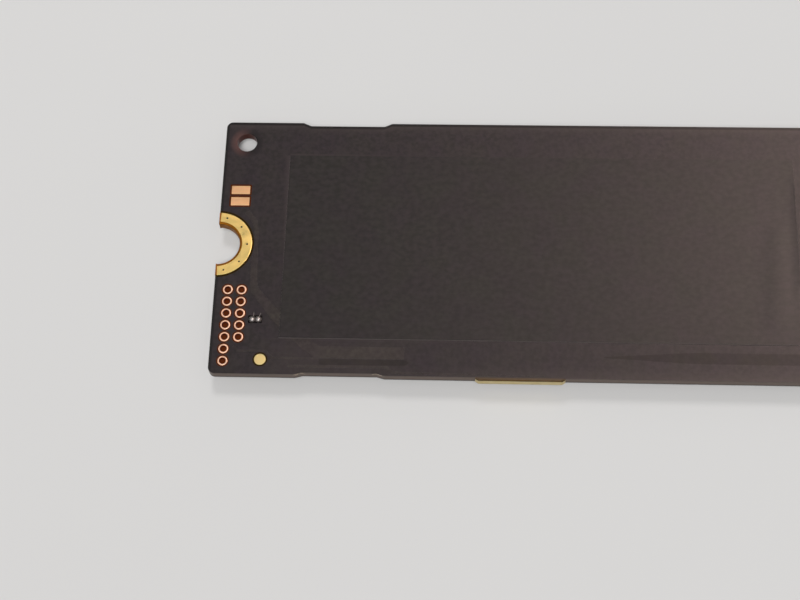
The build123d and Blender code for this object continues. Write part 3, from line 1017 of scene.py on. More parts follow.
@dataclass
class Finishes:
    """Every finish of the card, each made once."""

    coated_laminate: Any = once(CoatedLaminate())
    # Copper under the coating lifts it a little, so it looks paler and smoother there
    coated_copper: Any = once(
        CoatedLaminate("solder mask over copper", "#2a2324", "#2d2825", raised=True, roughness=0.38)
    )
    # Where no copper runs below it the coating looks a shade darker
    coated_gap: Any = once(
        CoatedLaminate("solder mask over bare laminate", "#171216", "#181512", raised=True, specular=0.255)
    )
    film: Any = once(PolyesterFilm())
    # Thin gold over nickel: satin, warm and nearly even
    gold: Any = once(Metal("immersion gold", "#f0d688", "#e9cd7f", 0.34, patch_mm=0.7))
    # The same gold on a small flat mark: paler, nearly mirror-flat
    pale_gold: Any = once(Metal("flat immersion gold", "#ecd99a", "#e3cf90", 0.32, patch_mm=0.6))
    # Gold over a drilled wall and its rolled rim: painted dark brown as the shade there, and dull
    shaded_wall_gold: Any = once(Metal("gold over drilled resin", "#8a5a1c", "#744810", 0.5, patch_mm=0.3))
    # Gold on the outer edge: greyish and flat
    edge_face_gold: Any = once(Metal("greyish edge gold", "#dccb9a", "#c7b583", 0.42, patch_mm=0.8))
    # The lip above the edge gold: painted dull brown as shade
    lip_gold_in_shade: Any = once(Metal("gold painted dark as shade", "#52401a", "#443010", 0.5, patch_mm=0.5))
    # Copper under a clear preservative: peach, satin, faintly blotched
    copper: Any = once(Metal("bare copper", "#eac092", "#deb183", 0.36, patch_mm=0.5))
    # Thinner copper on the small rings: pinker
    ring_copper: Any = once(Metal("thin bare copper", "#e6c5aa", "#d8b298", 0.42, patch_mm=0.3))
    # Copper down a drilled hole: painted dark red as the shade inside the hole
    shaded_barrel_copper: Any = once(Metal("copper painted dark as shade", "#5f2212", "#48160a", 0.55, patch_mm=0.2))
    # Reflowed tin alloy: bright and wet-looking with a soft crystal grain
    tin: Any = once(Metal("reflowed tin", "#d8d8d6", "#bcbcbb", 0.26, patch_mm=0.25, grain_depth_mm=0.0015))
    # Tin pressed by a probe: a soft grey shine
    probed_tin: Any = once(Metal("pressed tin", "#b6b2b0", "#a39f9d", 0.34, patch_mm=0.2))
    # Solder left round a probed pad: greyer and duller; also the thin streaks that stand in for highlights
    # on the rims
    dull_tin_and_glints: Any = once(Metal("probed tin", "#98948f", "#7d7976", 0.4, patch_mm=0.2))
    # Resin bared beside copper: dark red, no shine
    red_resin: Any = once(Fired("bared red resin", "#4c220c", "#5a2a10", 0.8, cloud_mm=0.4, specular=0.02))
    # Resin in a bare window of the coating: black, its own dark tone deepened as painted shade round the
    # dots; no shine
    black_resin_and_shade: Any = once(
        Fired("bared black resin", "#151313", "#1b1919", 0.8, cloud_mm=0.4, specular=0.02)
    )
    # Resin that fills the test holes: warm red brown
    fill_resin: Any = once(Fired("red hole resin", "#4f210a", "#5c2c12", 0.7, cloud_mm=0.3, specular=0.05))
    # Resin bared beside gold: dark olive brown, its own tone deepened as painted shade of the coating's
    # step; no shine
    brown_resin_and_shade: Any = once(
        Fired("bared brown resin", "#2c2009", "#37290f", 0.8, cloud_mm=0.4, specular=0.02)
    )
    # Rolled nickel-iron: fine brushing along the strip
    lid: Any = once(
        Metal("rolled nickel iron", "#cfcac0", "#b5afa4", 0.32, grain=Grain.ALONG_X, grain_depth_mm=0.002)
    )
    # Epoxy full of silica: matte black with a fine pale grit
    mould: Any = once(Fired("silica-filled epoxy", "#202021", "#303031", 0.55, cloud_mm=3.0))
    # The smooth floor of a moulded dimple
    dimple: Any = once(Fired("polished epoxy", "#161617", "#232324", 0.28, grain_depth_mm=0.0006))
    # Green-brown resin board under the mould
    substrate: Any = once(Fired("package laminate", "#2c3020", "#4a4a2e", 0.5, cloud_mm=0.5))
    # Barium titanate: tan brown, waxy
    capacitor: Any = once(Fired("barium titanate", "#846a53", "#9a8069", 0.42, cloud_mm=0.5))
    # Glass over a resistive film: deep black and glossy
    resistor: Any = once(Fired("black glass glaze", "#101011", "#1c1c1d", 0.18, grain_depth_mm=0.0006))
    # Alumina: chalky white
    fuse: Any = once(Fired("white alumina", "#cdcabe", "#e0ddd2", 0.6, cloud_mm=0.5))
    # Pressed iron powder: dark grey, rough, with bright grains
    inductor: Any = once(
        Fired("pressed iron powder", "#3a3a3c", "#6a6a6a", 0.6, fleck_mm=0.05, grain_depth_mm=0.006)
    )
    # Brown-white ceramic of the clock's base
    crystal: Any = once(Fired("sintered ceramic", "#b7ac96", "#c9bfaa", 0.55, cloud_mm=0.4))
    # White epoxy ink: chalky, thin at its edges
    ink: Any = once(Fired("white epoxy ink", "#cfcfca", "#e4e4df", 0.6, cloud_mm=0.4))
    # Loose glass strands: pale and bright
    glass: Any = once(Fired("glass strands", "#b6a68f", "#ded3c0", 0.35, cloud_mm=0.1))


@dataclass
class CardPiece:
    """A sub-assembly of the card, dressed from the card's finishes."""

    finishes: Finishes


# Bare face


def plated_section(box: Solid, skin: Sequence[Spot], wall: float, flange: float) -> list[Spot]:
    """Completes the section through a plated hole: two flanges and the wall between them.

    Args:
        box: The plating's box.
        skin: Radius and depth below the top of each corner of the upper skin, from the rim inwards.
        wall: Radius of the wall's back.
        flange: Thickness of the flanges.

    Returns:
        Radius and height of each corner, in order round the section.
    """
    top, bottom = box.high.z, box.low.z
    upper = [(skin[0][0], top - flange)] + [(radius, top - depth) for radius, depth in skin]
    lower = [(radius, top + bottom - height) for radius, height in reversed(upper)]
    return upper + lower + [(wall, bottom + flange), (wall, top - flange)]


@dataclass
class ScrewPad(CardPiece):
    """Gold half ring round the screw notch, with rolled rims, a plated wall and five stitch vias."""

    notch_radius: float = 1.75
    pad_radius: float = 2.75
    flange: float = 0.035
    wall: float = 0.035
    rim_roll: float = 0.06
    rim_steps: tuple[Spot, ...] = ((0.0, 0.016), (0.35, 0.004), (1.0, 0.0))
    inner_roll: float = 0.2
    inner_steps: tuple[Spot, ...] = ((1.0, 0.0), (0.5, 0.008), (0.15, 0.028), (0.0, 0.08))
    end_roll: float = 0.07
    wrap_proud: float = 0.0008
    wrap_round: float = 0.016
    via_radius: float = 0.08
    via_ring_radius: float = 2.35
    via_angles: tuple[float, ...] = (-75, -40, 0, 40, 75)
    steps: int = 72

    def profile(self) -> list[Spot]:
        """Plans the section through the flanges and the wall.

        Returns:
            Radius and height of each corner, in order round the section.
        """
        skin = [(self.pad_radius - self.rim_roll * share, depth) for share, depth in self.rim_steps]
        skin += [(self.notch_radius + self.inner_roll * share, depth) for share, depth in self.inner_steps]
        return plated_section(NOTCH_PAD, skin, self.notch_radius + self.wall, self.flange)

    def build(self) -> None:
        """Spins the ring, wraps its ends and drills the vias."""
        ring = lathe("screw_ring", self.profile(), (MOUNT_END, 0.0), 180, self.steps)
        for angle in self.via_angles:
            turn = math.radians(angle)
            x, y = self.via_ring_radius * math.cos(turn), self.via_ring_radius * math.sin(turn)
            carve(ring, drum("drill", 16, self.via_radius, 2, (MOUNT_END + x, y, NOTCH_PAD.middle.z)))
        wraps = []
        for side in (-1, 1):
            near, far = sorted((side * self.notch_radius, side * self.pad_radius))
            wrap = block(
                "wrap",
                (NOTCH_PAD.low.x, near, NOTCH_PAD.low.z - self.wrap_proud),
                (MOUNT_END + self.end_roll, far, NOTCH_PAD.high.z + self.wrap_proud),
            )
            soften(wrap, self.wrap_round)
            wraps.append(wrap)
        piece = join([ring, *wraps], "screw_ring")
        finish = [self.finishes.gold, self.finishes.shaded_wall_gold]
        rim = self.notch_radius + self.inner_roll * 0.9

        def dull(middle: Vector, normal: Vector) -> bool:
            """Tells the wall, its rolled rim and the ring's ends, which take the gold painted dark as shade,
            from the flat gold.
            """
            x = middle.x - MOUNT_END
            return math.hypot(x, middle.y) < rim or x < self.end_roll

        part_faces(piece, finish, dull)
        smooth(piece)
        settle(piece, finish, ["screw_pad"])


@dataclass
class TestPoints(CardPiece):
    """Twelve plated holes: a ring with rolled rims on each face and the barrel between."""

    ring_radius: float = 0.4
    hole_radius: float = 0.23
    roll: float = 0.045
    rim_steps: tuple[Spot, ...] = ((0.0, 0.014), (0.4, 0.003), (1.0, 0.0))
    inner_steps: tuple[Spot, ...] = ((1.0, 0.0), (0.35, 0.012), (0.0, 0.05))
    flange: float = 0.035
    fill_depth: float = 0.15
    fill_bite: float = 0.004
    fill_step: float = 0.07
    fill_sinks: tuple[float, ...] = (0.02, 0.012)
    steps: int = 28

    def build_fill(self, places: list[tuple[Point, float]]) -> None:
        """Fills every hole with red resin that has sunk a little at both ends.

        Args:
            places: Place and turn of each hole.
        """
        depth = BOARD.size.z - 2 * self.fill_depth
        plug = drum("plug", self.steps, self.hole_radius + self.fill_bite, depth, (0, 0, BOARD.middle.z))
        for side in (1, -1):
            pick_faces(plug, lambda middle, normal: normal.z * side > 0.9)
            for sink in self.fill_sinks:
                bpy.ops.mesh.inset(thickness=self.fill_step)
                bpy.ops.transform.translate(value=(0, 0, -sink * side))
        begin()
        smooth(plug)
        settle(scatter(plug, places, "hole_fill"), [self.finishes.fill_resin])

    def build(self) -> None:
        """Turns one plated hole and copies it to every place."""
        skin = [(self.ring_radius - self.roll * share, depth) for share, depth in self.rim_steps]
        skin += [(self.hole_radius + self.roll * share, depth) for share, depth in self.inner_steps]
        wall = self.hole_radius + self.flange
        section = plated_section(node_box("test_points"), skin, wall, self.flange)
        model = lathe("test_ring", section, (0.0, 0.0), 360, self.steps)
        # The barrel takes copper painted dark red as the shade inside the hole
        finish = [self.finishes.ring_copper, self.finishes.shaded_barrel_copper]
        rim = self.hole_radius + self.roll * 0.9
        part_faces(model, finish, lambda middle, normal: math.hypot(middle.x, middle.y) < rim)
        smooth(model)
        places = [((s.middle.x, s.middle.y, 0.0), 0.0) for s in solids_of("test_points")]
        piece = scatter(model, places, "test_rings")
        settle(piece, finish, ["test_points"])
        self.build_fill(places)


@dataclass
class FlatPads:
    """Small etched pads whose rims the etch has rolled over."""

    node: str
    name: str
    slot: str
    material: Material
    corner: float = 0.05
    rim: float = 0.018
    round_pad: bool = False

    def build(self) -> None:
        """Models one pad and copies it to every place of its node."""
        solids = solids_of(self.node)
        size = solids[0].size
        if self.round_pad:
            model = drum("pad", 48, size.x / 2, size.z)
        else:
            model = block("pad", -size / 2, size / 2)
            round_corners(model, self.corner, 4)
        soften(model, self.rim, segments=3, angle=60)
        smooth(model)
        places = [(tuple(solid.middle), 0.0) for solid in solids]
        settle(scatter(model, places, self.name), [self.material], [self.node])


@dataclass
class SolderDots(CardPiece):
    """Two small domes of tin on low feet in a bare window, with solder rims and grey streaks beside them
    that stand in for highlights.
    """

    foot: float = 0.02
    window_border: float = 0.21
    window_height: float = 0.006
    window_corner: float = 0.2
    rim_section: tuple[Spot, ...] = ((0.222, 0.0), (0.25, 0.0), (0.246, 0.012), (0.226, 0.012))
    streak_height: float = 0.012
    streak_widths: tuple[float, ...] = (0.035, 0.03, 0.015)
    highlight_streaks: tuple[tuple[Spot, ...], ...] = (
        ((3.6, -6.4), (3.74, -6.16), (3.84, -5.9)),
        ((3.25, -6.2), (3.29, -5.98), (3.28, -5.84)),
    )

    def build(self) -> None:
        """Squashes a sphere into the domes, then models the window, rims and streaks."""
        solids = solids_of("solder_dots")
        size = solids[0].size
        begin()
        bpy.ops.mesh.primitive_uv_sphere_add(segments=24, ring_count=16, radius=size.x / 2)
        dome = added("dome")
        take(dome)
        bpy.ops.object.mode_set(mode="EDIT")
        bpy.ops.mesh.select_all(action="SELECT")
        bpy.ops.mesh.bisect(plane_co=(0, 0, 0), plane_no=(0, 0, 1), use_fill=True, clear_inner=True)
        bpy.ops.mesh.select_all(action="SELECT")
        bpy.ops.transform.resize(
            value=(1, 1, (size.z - self.foot) / (size.x / 2)), center_override=(0, 0, 0)
        )
        bpy.ops.transform.translate(value=(0, 0, self.foot))
        pick_faces(dome, lambda middle, normal: normal.z < -0.9)
        bpy.ops.mesh.extrude_region_move(TRANSFORM_OT_translate={"value": (0, 0, -self.foot)})
        begin()
        smooth(dome, 60)
        places = [((s.middle.x, s.middle.y, s.low.z), 0.0) for s in solids]
        dots = scatter(dome, places, "tinned_dots")
        settle(dots, [self.finishes.probed_tin], ["solder_dots"])
        floor = solids[0].low.z
        low = [min(s.low[i] for s in solids) - self.window_border for i in (0, 1)]
        high = [max(s.high[i] for s in solids) + self.window_border for i in (0, 1)]
        # The window's near-black is partly the resin's own tone and partly painted shade round the dots
        window = block("dot_window", (*low, floor), (*high, floor + self.window_height))
        round_corners(window, self.window_corner, 5)
        smooth(window)
        settle(window, [self.finishes.black_resin_and_shade])
        rims = scatter(lathe("rim", self.rim_section, (0.0, 0.0), 360, 28), places, "dot_rims")
        # The grey streaks are painted highlights along the rims, laid as thin strips
        highlight_streaks = []
        for route in self.highlight_streaks:
            spots = [(MOUNT_END + u, v) for u, v in route]
            streak = strip(spots, self.streak_widths, Face.BARE, BOARD.high.z + self.streak_height)
            modify(streak, "SOLIDIFY", thickness=self.streak_height + 0.002, offset=-1)
            highlight_streaks.append(streak)
        piece = join([rims, *highlight_streaks], "dot_rims")
        smooth(piece)
        settle(piece, [self.finishes.dull_tin_and_glints])


@dataclass
class ResinBorders(CardPiece):
    """Resin bared in a narrow border round the pads of the bare face, where the coating stands back."""

    proud: float = 0.002
    depth: float = 0.028
    ring_border: float = 0.16
    mark_border: float = 0.13
    hole_border: float = 0.1
    land_border: float = 0.12
    under: float = 0.02
    hole_under: float = 0.015
    slope: float = 0.02
    slope_drop: float = 0.003

    def collar(self, centre: Spot, inner: float, outer: float, turn: float = 360) -> Piece:
        """Turns one flat collar.

        Args:
            centre: Place of its axis.
            inner: Its inner radius.
            outer: Its outer radius.
            turn: Angle of the turn, in degrees.

        Returns:
            The collar.
        """
        top = BOARD.high.z + self.proud
        profile = [
            (inner, top - self.depth),
            (outer, top - self.depth),
            (outer, top - self.slope_drop),
            (outer - self.slope, top),
            (inner, top),
        ]
        return lathe("collar", profile, centre, turn, 72 if outer > 1 else 36)

    def build(self) -> None:
        """Models the red borders beside copper and the brown ones beside gold."""
        holes = solids_of("test_points")
        radius = holes[0].size.x / 2
        model = self.collar((0.0, 0.0), radius - self.hole_under, radius + self.hole_border)
        places = [((s.middle.x, s.middle.y, 0.0), 0.0) for s in holes]
        red = [scatter(model, places, "hole_borders")]
        for land in solids_of("service_pads"):
            reach = Vector((self.land_border, self.land_border, 0))
            low, high = land.low - reach, land.high + reach
            top = BOARD.high.z + self.proud
            plate = block("plate", (low.x, low.y, land.low.z + 0.001), (high.x, high.y, top))
            round_corners(plate, self.land_border, 4)
            red.append(plate)
        piece = join(red, "red_borders")
        smooth(piece)
        settle(piece, [self.finishes.red_resin])
        ring = NOTCH_PAD.size.y / 2
        mark = node_box("upper_fiducial")
        disc = mark.size.x / 2
        brown = [
            self.collar((MOUNT_END, 0.0), ring - self.under, ring + self.ring_border, 180),
            self.collar(tuple(mark.middle.xy), disc - self.under, disc + self.mark_border),
        ]
        # The brown collars are darkened partly as painted shade of the coating's step
        piece = join(brown, "brown_borders")
        smooth(piece)
        settle(piece, [self.finishes.brown_resin_and_shade])


@dataclass
class EdgeStrip(CardPiece):
    """Gold on the near-edge tab: a greyish pale face under a lip painted dark as shade, with ends that taper
    back.
    """

    inset: float = 0.3
    taper: float = 0.24
    taper_back: float = 0.15
    skin: float = 0.05
    lip: float = 0.17
    end_round: float = 0.025
    edge: float = 0.014

    def build(self) -> None:
        """Models the strip, splits it below its lip and rounds it."""
        box = node_box("edge_plating")
        low, high = box.low.x + self.inset, box.high.x - self.inset
        piece = block("edge_gold", (low, box.low.y, box.low.z), (high, box.low.y + self.skin, box.high.z))
        for side in (-1, 1):
            pick_faces(piece, lambda middle, normal: normal.x * side > 0.9)
            shift = (side * self.taper, self.taper_back, 0)
            bpy.ops.mesh.extrude_region_move(TRANSFORM_OT_translate={"value": shift})
        pick_edges(piece, lambda m: abs(m.y - box.low.y) < 1e-3 and abs(m.z - box.middle.z) < 1e-3)
        bpy.ops.mesh.bevel(offset=self.end_round, segments=3, affect="EDGES")
        seam = box.high.z - self.lip
        bpy.ops.mesh.select_all(action="SELECT")
        bpy.ops.mesh.bisect(plane_co=(0, 0, seam), plane_no=(0, 0, 1))
        begin()
        soften(piece, self.edge, segments=3)
        finish = [self.finishes.edge_face_gold, self.finishes.lip_gold_in_shade]
        part_faces(piece, finish, lambda middle, normal: middle.z > seam)
        smooth(piece)
        settle(piece, finish, ["edge_plating"])


@dataclass
class FrayedGlass(CardPiece):
    """Loose glass strands where the tabs were broken off at the ends of the near recess."""

    length: float = 0.42
    thickness: float = 0.014
    tip: float = 0.35
    bow: float = 0.03
    strands: tuple[tuple[float, float, float, float], ...] = (
        (6.86, -10.99, 1.99, 12.0),
        (7.0, -10.95, 1.9, 22.0),
        (7.18, -10.9, 2.0, 6.0),
        (7.35, -10.87, 1.8, -4.0),
        (12.95, -10.87, 1.98, 2.0),
        (13.15, -10.9, 2.02, -12.0),
        (13.32, -10.94, 1.94, -18.0),
        (13.5, -10.98, 1.99, -10.0),
    )

    def build(self) -> None:
        """Bends one tapered strand and lays copies along both ramps."""
        begin()
        bpy.ops.mesh.primitive_cone_add(
            vertices=7,
            radius1=self.thickness,
            radius2=self.thickness * self.tip,
            depth=self.length,
            rotation=(0, math.pi / 2, 0),
        )
        strand = added("strand")
        pick_edges(strand, lambda m: abs(m.x) < self.length * 0.1)
        bpy.ops.mesh.subdivide(number_cuts=3)
        mesh = bmesh.from_edit_mesh(strand.data)
        for vertex in mesh.verts:
            vertex.co.y += self.bow * (1 - (2 * vertex.co.x / self.length) ** 2)
        bmesh.update_edit_mesh(strand.data)
        begin()
        smooth(strand, 60)
        places = [((MOUNT_END + u, v, z), turn) for u, v, z, turn in self.strands]
        settle(scatter(strand, places, "loose_strands"), [self.finishes.glass])


@dataclass
class CoverFilm(CardPiece):
    """Blank black film on the bare face: nearly flat, in faint waves, creased and lifted at its right end.

    A crease is given by its place at the centre line, its slope, its width and its two ends across the card.
    """

    cell: float = 0.3
    sway: float = 0.006
    sway_length: float = 7.0
    crease_height: float = 0.022
    crease_end: float = 0.8
    creases: tuple[tuple[float, ...], ...] = (
        (FILM.high.x - 1.6, 0.05, 0.9, -7.0, 2.4),
        (FILM.high.x + 0.05, 0.02, 0.32, -3.5, 6.8),
    )
    edge_roll: float = 0.012

    def lift(self, x: float, y: float) -> float:
        """Height of the film's waves and creases at a place.

        Args:
            x: Place along the card.
            y: Place across the card.

        Returns:
            Height above the flat film.
        """
        turn = 2 * math.pi / self.sway_length
        wave = math.sin(x * turn + 0.7 * math.sin(y * turn * 0.6)) * math.sin(y * turn * 0.8 + 1.0)
        height = self.sway * (0.5 + 0.5 * wave)
        for start, slope, width, low, high in self.creases:
            line = start + slope * y
            along = max(0.0, min(1.0, (y - low) / self.crease_end, (high - y) / self.crease_end))
            height += self.crease_height * along * math.exp(-(((x - line) / width) ** 2))
        return min(height, self.crease_height)

    def build(self) -> None:
        """Lays a fine grid, waves it, gives it thickness and rolls its edges."""
        size = FILM.size
        begin()
        bpy.ops.mesh.primitive_grid_add(
            x_subdivisions=int(size.x / self.cell),
            y_subdivisions=int(size.y / self.cell),
            size=1,
            location=(FILM.middle.x, FILM.middle.y, FILM.high.z),
        )
        bpy.context.view_layer.objects.active.scale = (size.x, size.y, 1)
        piece = added("blank_film")
        modify(piece, "SOLIDIFY", thickness=size.z, offset=-1)
        soften(piece, self.edge_roll, segments=2, angle=60)
        for vertex in piece.data.vertices:
            share = max(0.0, (vertex.co.z - FILM.low.z) / size.z)
            vertex.co.z += share * self.lift(vertex.co.x, vertex.co.y)
        smooth(piece, 30)
        settle(piece, [self.finishes.film], ["cover_film"])


@dataclass
class UpperRelief(CardPiece):
    """Copper runs under the coating of the bare face: they lift it by a hair, with soft shoulders."""

    lift: float = 0.02
    shoulder: float = 0.012
    gap_lift: float = 0.003
    bite: float = 0.005
    thin: float = 0.16

    def runs(self) -> list[Run]:
        """Routes of the copper, from the screw-notch end.

        Returns:
            For each run its points, from the mount end and the centre line, and its widths.
        """
        bus = [(2.17, 2.84), (2.88, 1.96), (3.07, 0.9), (3.09, 0.0), (3.02, -1.4), (3.07, -3.2)]
        bus += [(3.2, -3.95), (5.12, -6.29), (7.5, -8.5), (8.4, -9.14), (15.15, -9.14)]
        side = [(1.83, -8.73), (2.25, -9.12), (4.35, -9.08), (4.93, -9.66), (8.5, -9.66)]
        near = [(6.2, -10.32), (13.85, -10.31), (14.35, -10.74), (19.5, -10.8), (26.0, -10.84)]
        return [
            (bus, [0.42, 0.42, 0.3, 0.26, 0.48, 0.53, 0.64, 0.9, 0.95, 0.97, 0.97]),
            (side, [self.thin] * len(side)),
            (near, [0.2, 0.2, 0.2, 0.16, 0.04]),
        ]

    def gaps(self) -> list[Run]:
        """Routes of the strips that the copper leaves free, from the screw-notch end.

        Returns:
            For each strip its points and its widths.
        """
        under_bus = [(8.6, -9.93), (15.1, -9.92), (15.35, -9.92), (15.5, -9.92)]
        right = [(30.5, -9.2), (34.0, -9.18), (37.4, -9.16), (60.0, -9.16), (61.0, -9.16)]
        return [(under_bus, [0.47, 0.47, 0.36, 0.14]), (right, [0.08, 0.5, 0.92, 0.92, 0.3])]

    def lay(self, routes: list[Run], height: float, name: str) -> Piece:
        """Lays strips of one height on the bare face.

        Args:
            routes: Points and widths of each strip.
            height: How far the strips stand off the board.
            name: Name for the joined strips.

        Returns:
            The strips as one piece.
        """
        strips = []
        for route, widths in routes:
            places = [(MOUNT_END + u, v) for u, v in route]
            run = strip(places, widths, Face.BARE, BOARD.high.z + height)
            modify(run, "SOLIDIFY", thickness=height + self.bite, offset=-1)
            soften(run, min(self.shoulder, height * 0.6), segments=3, angle=60)
            strips.append(run)
        piece = join(strips, name)
        smooth(piece)
        return piece

    def build(self) -> None:
        """Lays the copper runs and the strips that it leaves free."""
        runs = self.lay(self.runs(), self.lift, "coated_runs")
        settle(runs, [self.finishes.coated_copper])
        gaps = self.lay(self.gaps(), self.gap_lift, "coated_gaps")
        settle(gaps, [self.finishes.coated_gap])


# Chip face


@dataclass
class BallGridPackage(CardPiece):
    """A moulded memory or controller package: mould cap with a dimple, its own laminate, solder balls."""

    node: str
    laminate: float = 0.24
    edge: float = 0.03
    dimple_radius: float = 0.5
    dimple_inset: float = 1.3
    dimple_depth: float = 0.03
    carrier_back: float = 0.008
    carrier_edge: float = 0.012
    ball_ends: float = 0.86
    ball_waist: float = 1.16

    def build(self) -> None:
        """Models the cap, the package's laminate and the balls."""
        box = node_box(self.node)
        seam = box.high.z - self.laminate
        cap = block(f"{self.node}_cap", box.low, (box.high.x, box.high.y, seam))
        soften(cap, self.edge)
        spot = (box.low.x + self.dimple_inset, box.high.y - self.dimple_inset, box.low.z)
        carve(cap, drum("dimple", 40, self.dimple_radius, 2 * self.dimple_depth, spot))
        floor = box.low.z + self.dimple_depth
        finish = [self.finishes.mould, self.finishes.dimple]
        part_faces(cap, finish, lambda middle, normal: abs(middle.z - floor) < 1e-3 and normal.z < -0.9)
        smooth(cap)
        settle(cap, finish, [self.node])
        back = self.carrier_back
        carrier = block(
            f"{self.node}_laminate",
            (box.low.x + back, box.low.y + back, seam - 0.01),
            (box.high.x - back, box.high.y - back, box.high.z),
        )
        soften(carrier, self.carrier_edge)
        smooth(carrier)
        settle(carrier, [self.finishes.substrate])
        self.build_balls()

    def build_balls(self) -> None:
        """Bellies one short cylinder out into a ball and copies it to every place."""
        solids = solids_of(f"{self.node}_solder_balls")
        size = solids[0].size
        ball = drum("ball", 10, size.x / 2 * self.ball_ends, size.z)
        pick_edges(ball, lambda middle: abs(middle.z) < size.z * 0.1)
        bpy.ops.mesh.subdivide(number_cuts=2)
        mesh = bmesh.from_edit_mesh(ball.data)
        for vertex in mesh.verts:
            vertex.select_set(abs(vertex.co.z) < size.z * 0.3)
        bmesh.update_edit_mesh(ball.data)
        bpy.ops.transform.resize(value=(self.ball_waist, self.ball_waist, 1))
        begin()
        take(ball)
        bpy.ops.object.shade_smooth_by_angle(angle=math.radians(50))
        places = [(tuple(solid.middle), 0.0) for solid in solids]
        piece = scatter(ball, places, f"{self.node}_balls")
        settle(piece, [self.finishes.tin], [f"{self.node}_solder_balls"])


def solder_toe(length: float, width: float, height: float) -> Piece:
    """Models the hollow slope of solder that climbs a metal end.

    Args:
        length: Reach along +X from the metal end at the origin.
        width: Width along Y.
        height: Climb, down from the board at Z = 0.

    Returns:
        The solder slope.
    """
    toe = block("toe", (0, -width / 2, -length), (length, width / 2, 0))
    pick_edges(toe, lambda m: abs(m.x - length) < 1e-4 and abs(m.z + length) < 1e-4)
    bpy.ops.mesh.bevel(offset=length * 0.93, segments=5, profile=0.22, affect="EDGES")
    bpy.ops.mesh.select_all(action="SELECT")
    bpy.ops.transform.resize(value=(1, 1, height / length), center_override=(0, 0, 0))
    begin()
    return toe


@dataclass
class LeadlessPackage(CardPiece):
    """A small flat moulded package with a dimple and solder toes at its leads."""

    node: str
    edge: float = 0.03
    dimple_radius: float = 0.16
    dimple_inset: float = 0.42
    dimple_depth: float = 0.03
    toe_reach: float = 0.16
    toe_climb: float = 0.2

    def build(self) -> None:
        """Models the moulded body and the solder toes, and dresses the leads."""
        box = node_box(self.node)
        body = block(f"{self.node}_body", box.low, box.high)
        soften(body, self.edge)
        spot = (box.low.x + self.dimple_inset, box.high.y - self.dimple_inset, box.low.z)
        carve(body, drum("dimple", 24, self.dimple_radius, 2 * self.dimple_depth, spot))
        smooth(body)
        settle(body, [self.finishes.mould], [self.node])
        dress(f"{self.node}_leads", self.finishes.tin)
        places = []
        width = 0.25
        for lead in solids_of(f"{self.node}_leads"):
            off = lead.middle - box.middle
            if max(lead.size.x, lead.size.y) > 0.6 or abs(off.x) + abs(off.y) < 0.2:
                continue
            along_x = lead.size.x > lead.size.y
            width = min(lead.size.x, lead.size.y)
            turn = (0 if off.x > 0 else 180) if along_x else (90 if off.y > 0 else -90)
            reach = Vector((box.size.x / 2 if off.x > 0 else -box.size.x / 2, off.y))
            if not along_x:
                reach = Vector((off.x, box.size.y / 2 if off.y > 0 else -box.size.y / 2))
            spot = (box.middle.x + reach.x, box.middle.y + reach.y, BOARD.low.z)
            places.append((spot, float(turn)))
        toe = solder_toe(self.toe_reach, width, self.toe_climb)
        smooth(toe)
        settle(scatter(toe, places, f"{self.node}_toes"), [self.finishes.tin])


@dataclass
class ChipParts(CardPiece):
    """Chip capacitors, resistors or fuses of one size: bodies, wrapped metal ends and solder toes."""

    kind: str
    slot: str
    body_finish: Material
    body_edge: float = 0.03
    cap_edge: float = 0.05
    wrap: float = 0.012
    overlap: float = 0.04
    toe_reach: float = 0.18
    toe_share: float = 0.62

    def build(self) -> None:
        """Models one chip and copies it to every place."""
        bodies = solids_of(f"{self.kind}_bodies")
        ends = solids_of(f"{self.kind}_end_caps")
        places = []
        for solid in bodies:
            turn = 0.0 if solid.size.x >= solid.size.y else 90.0
            places.append(((solid.middle.x, solid.middle.y, BOARD.low.z), turn))
        length = max(bodies[0].size.x, bodies[0].size.y)
        width = min(bodies[0].size.x, bodies[0].size.y)
        height = bodies[0].size.z
        cap = min(ends[0].size.x, ends[0].size.y)
        half = length / 2 + self.overlap
        body = block(
            "body",
            (-half, -width / 2 + self.wrap, -height + self.wrap),
            (half, width / 2 - self.wrap, -0.02),
        )
        soften(body, self.body_edge)
        smooth(body)
        name = f"{self.kind}_ceramics"
        settle(scatter(body, places, name), [self.body_finish], [f"{self.kind}_bodies"])
        metal = []
        toes = []
        for side in (-1, 1):
            inner, outer = sorted((side * length / 2, side * (length / 2 + cap)))
            end = block("end", (inner, -width / 2, -height), (outer, width / 2, 0))
            soften(end, self.cap_edge, segments=3)
            metal.append(end)
            toe = solder_toe(self.toe_reach, width * 0.94, height * self.toe_share)
            place = ((side * (length / 2 + cap), 0.0, 0.0), 0.0 if side > 0 else 180.0)
            toes.append(scatter(toe, [place], "toe"))
        caps = join(metal, "caps")
        smooth(caps)
        name = f"{self.kind}_metal_ends"
        settle(scatter(caps, places, name), [self.finishes.tin], [f"{self.kind}_end_caps"])
        slopes = join(toes, "slopes")
        smooth(slopes)
        settle(scatter(slopes, places, f"{self.kind}_toes"), [self.finishes.tin])


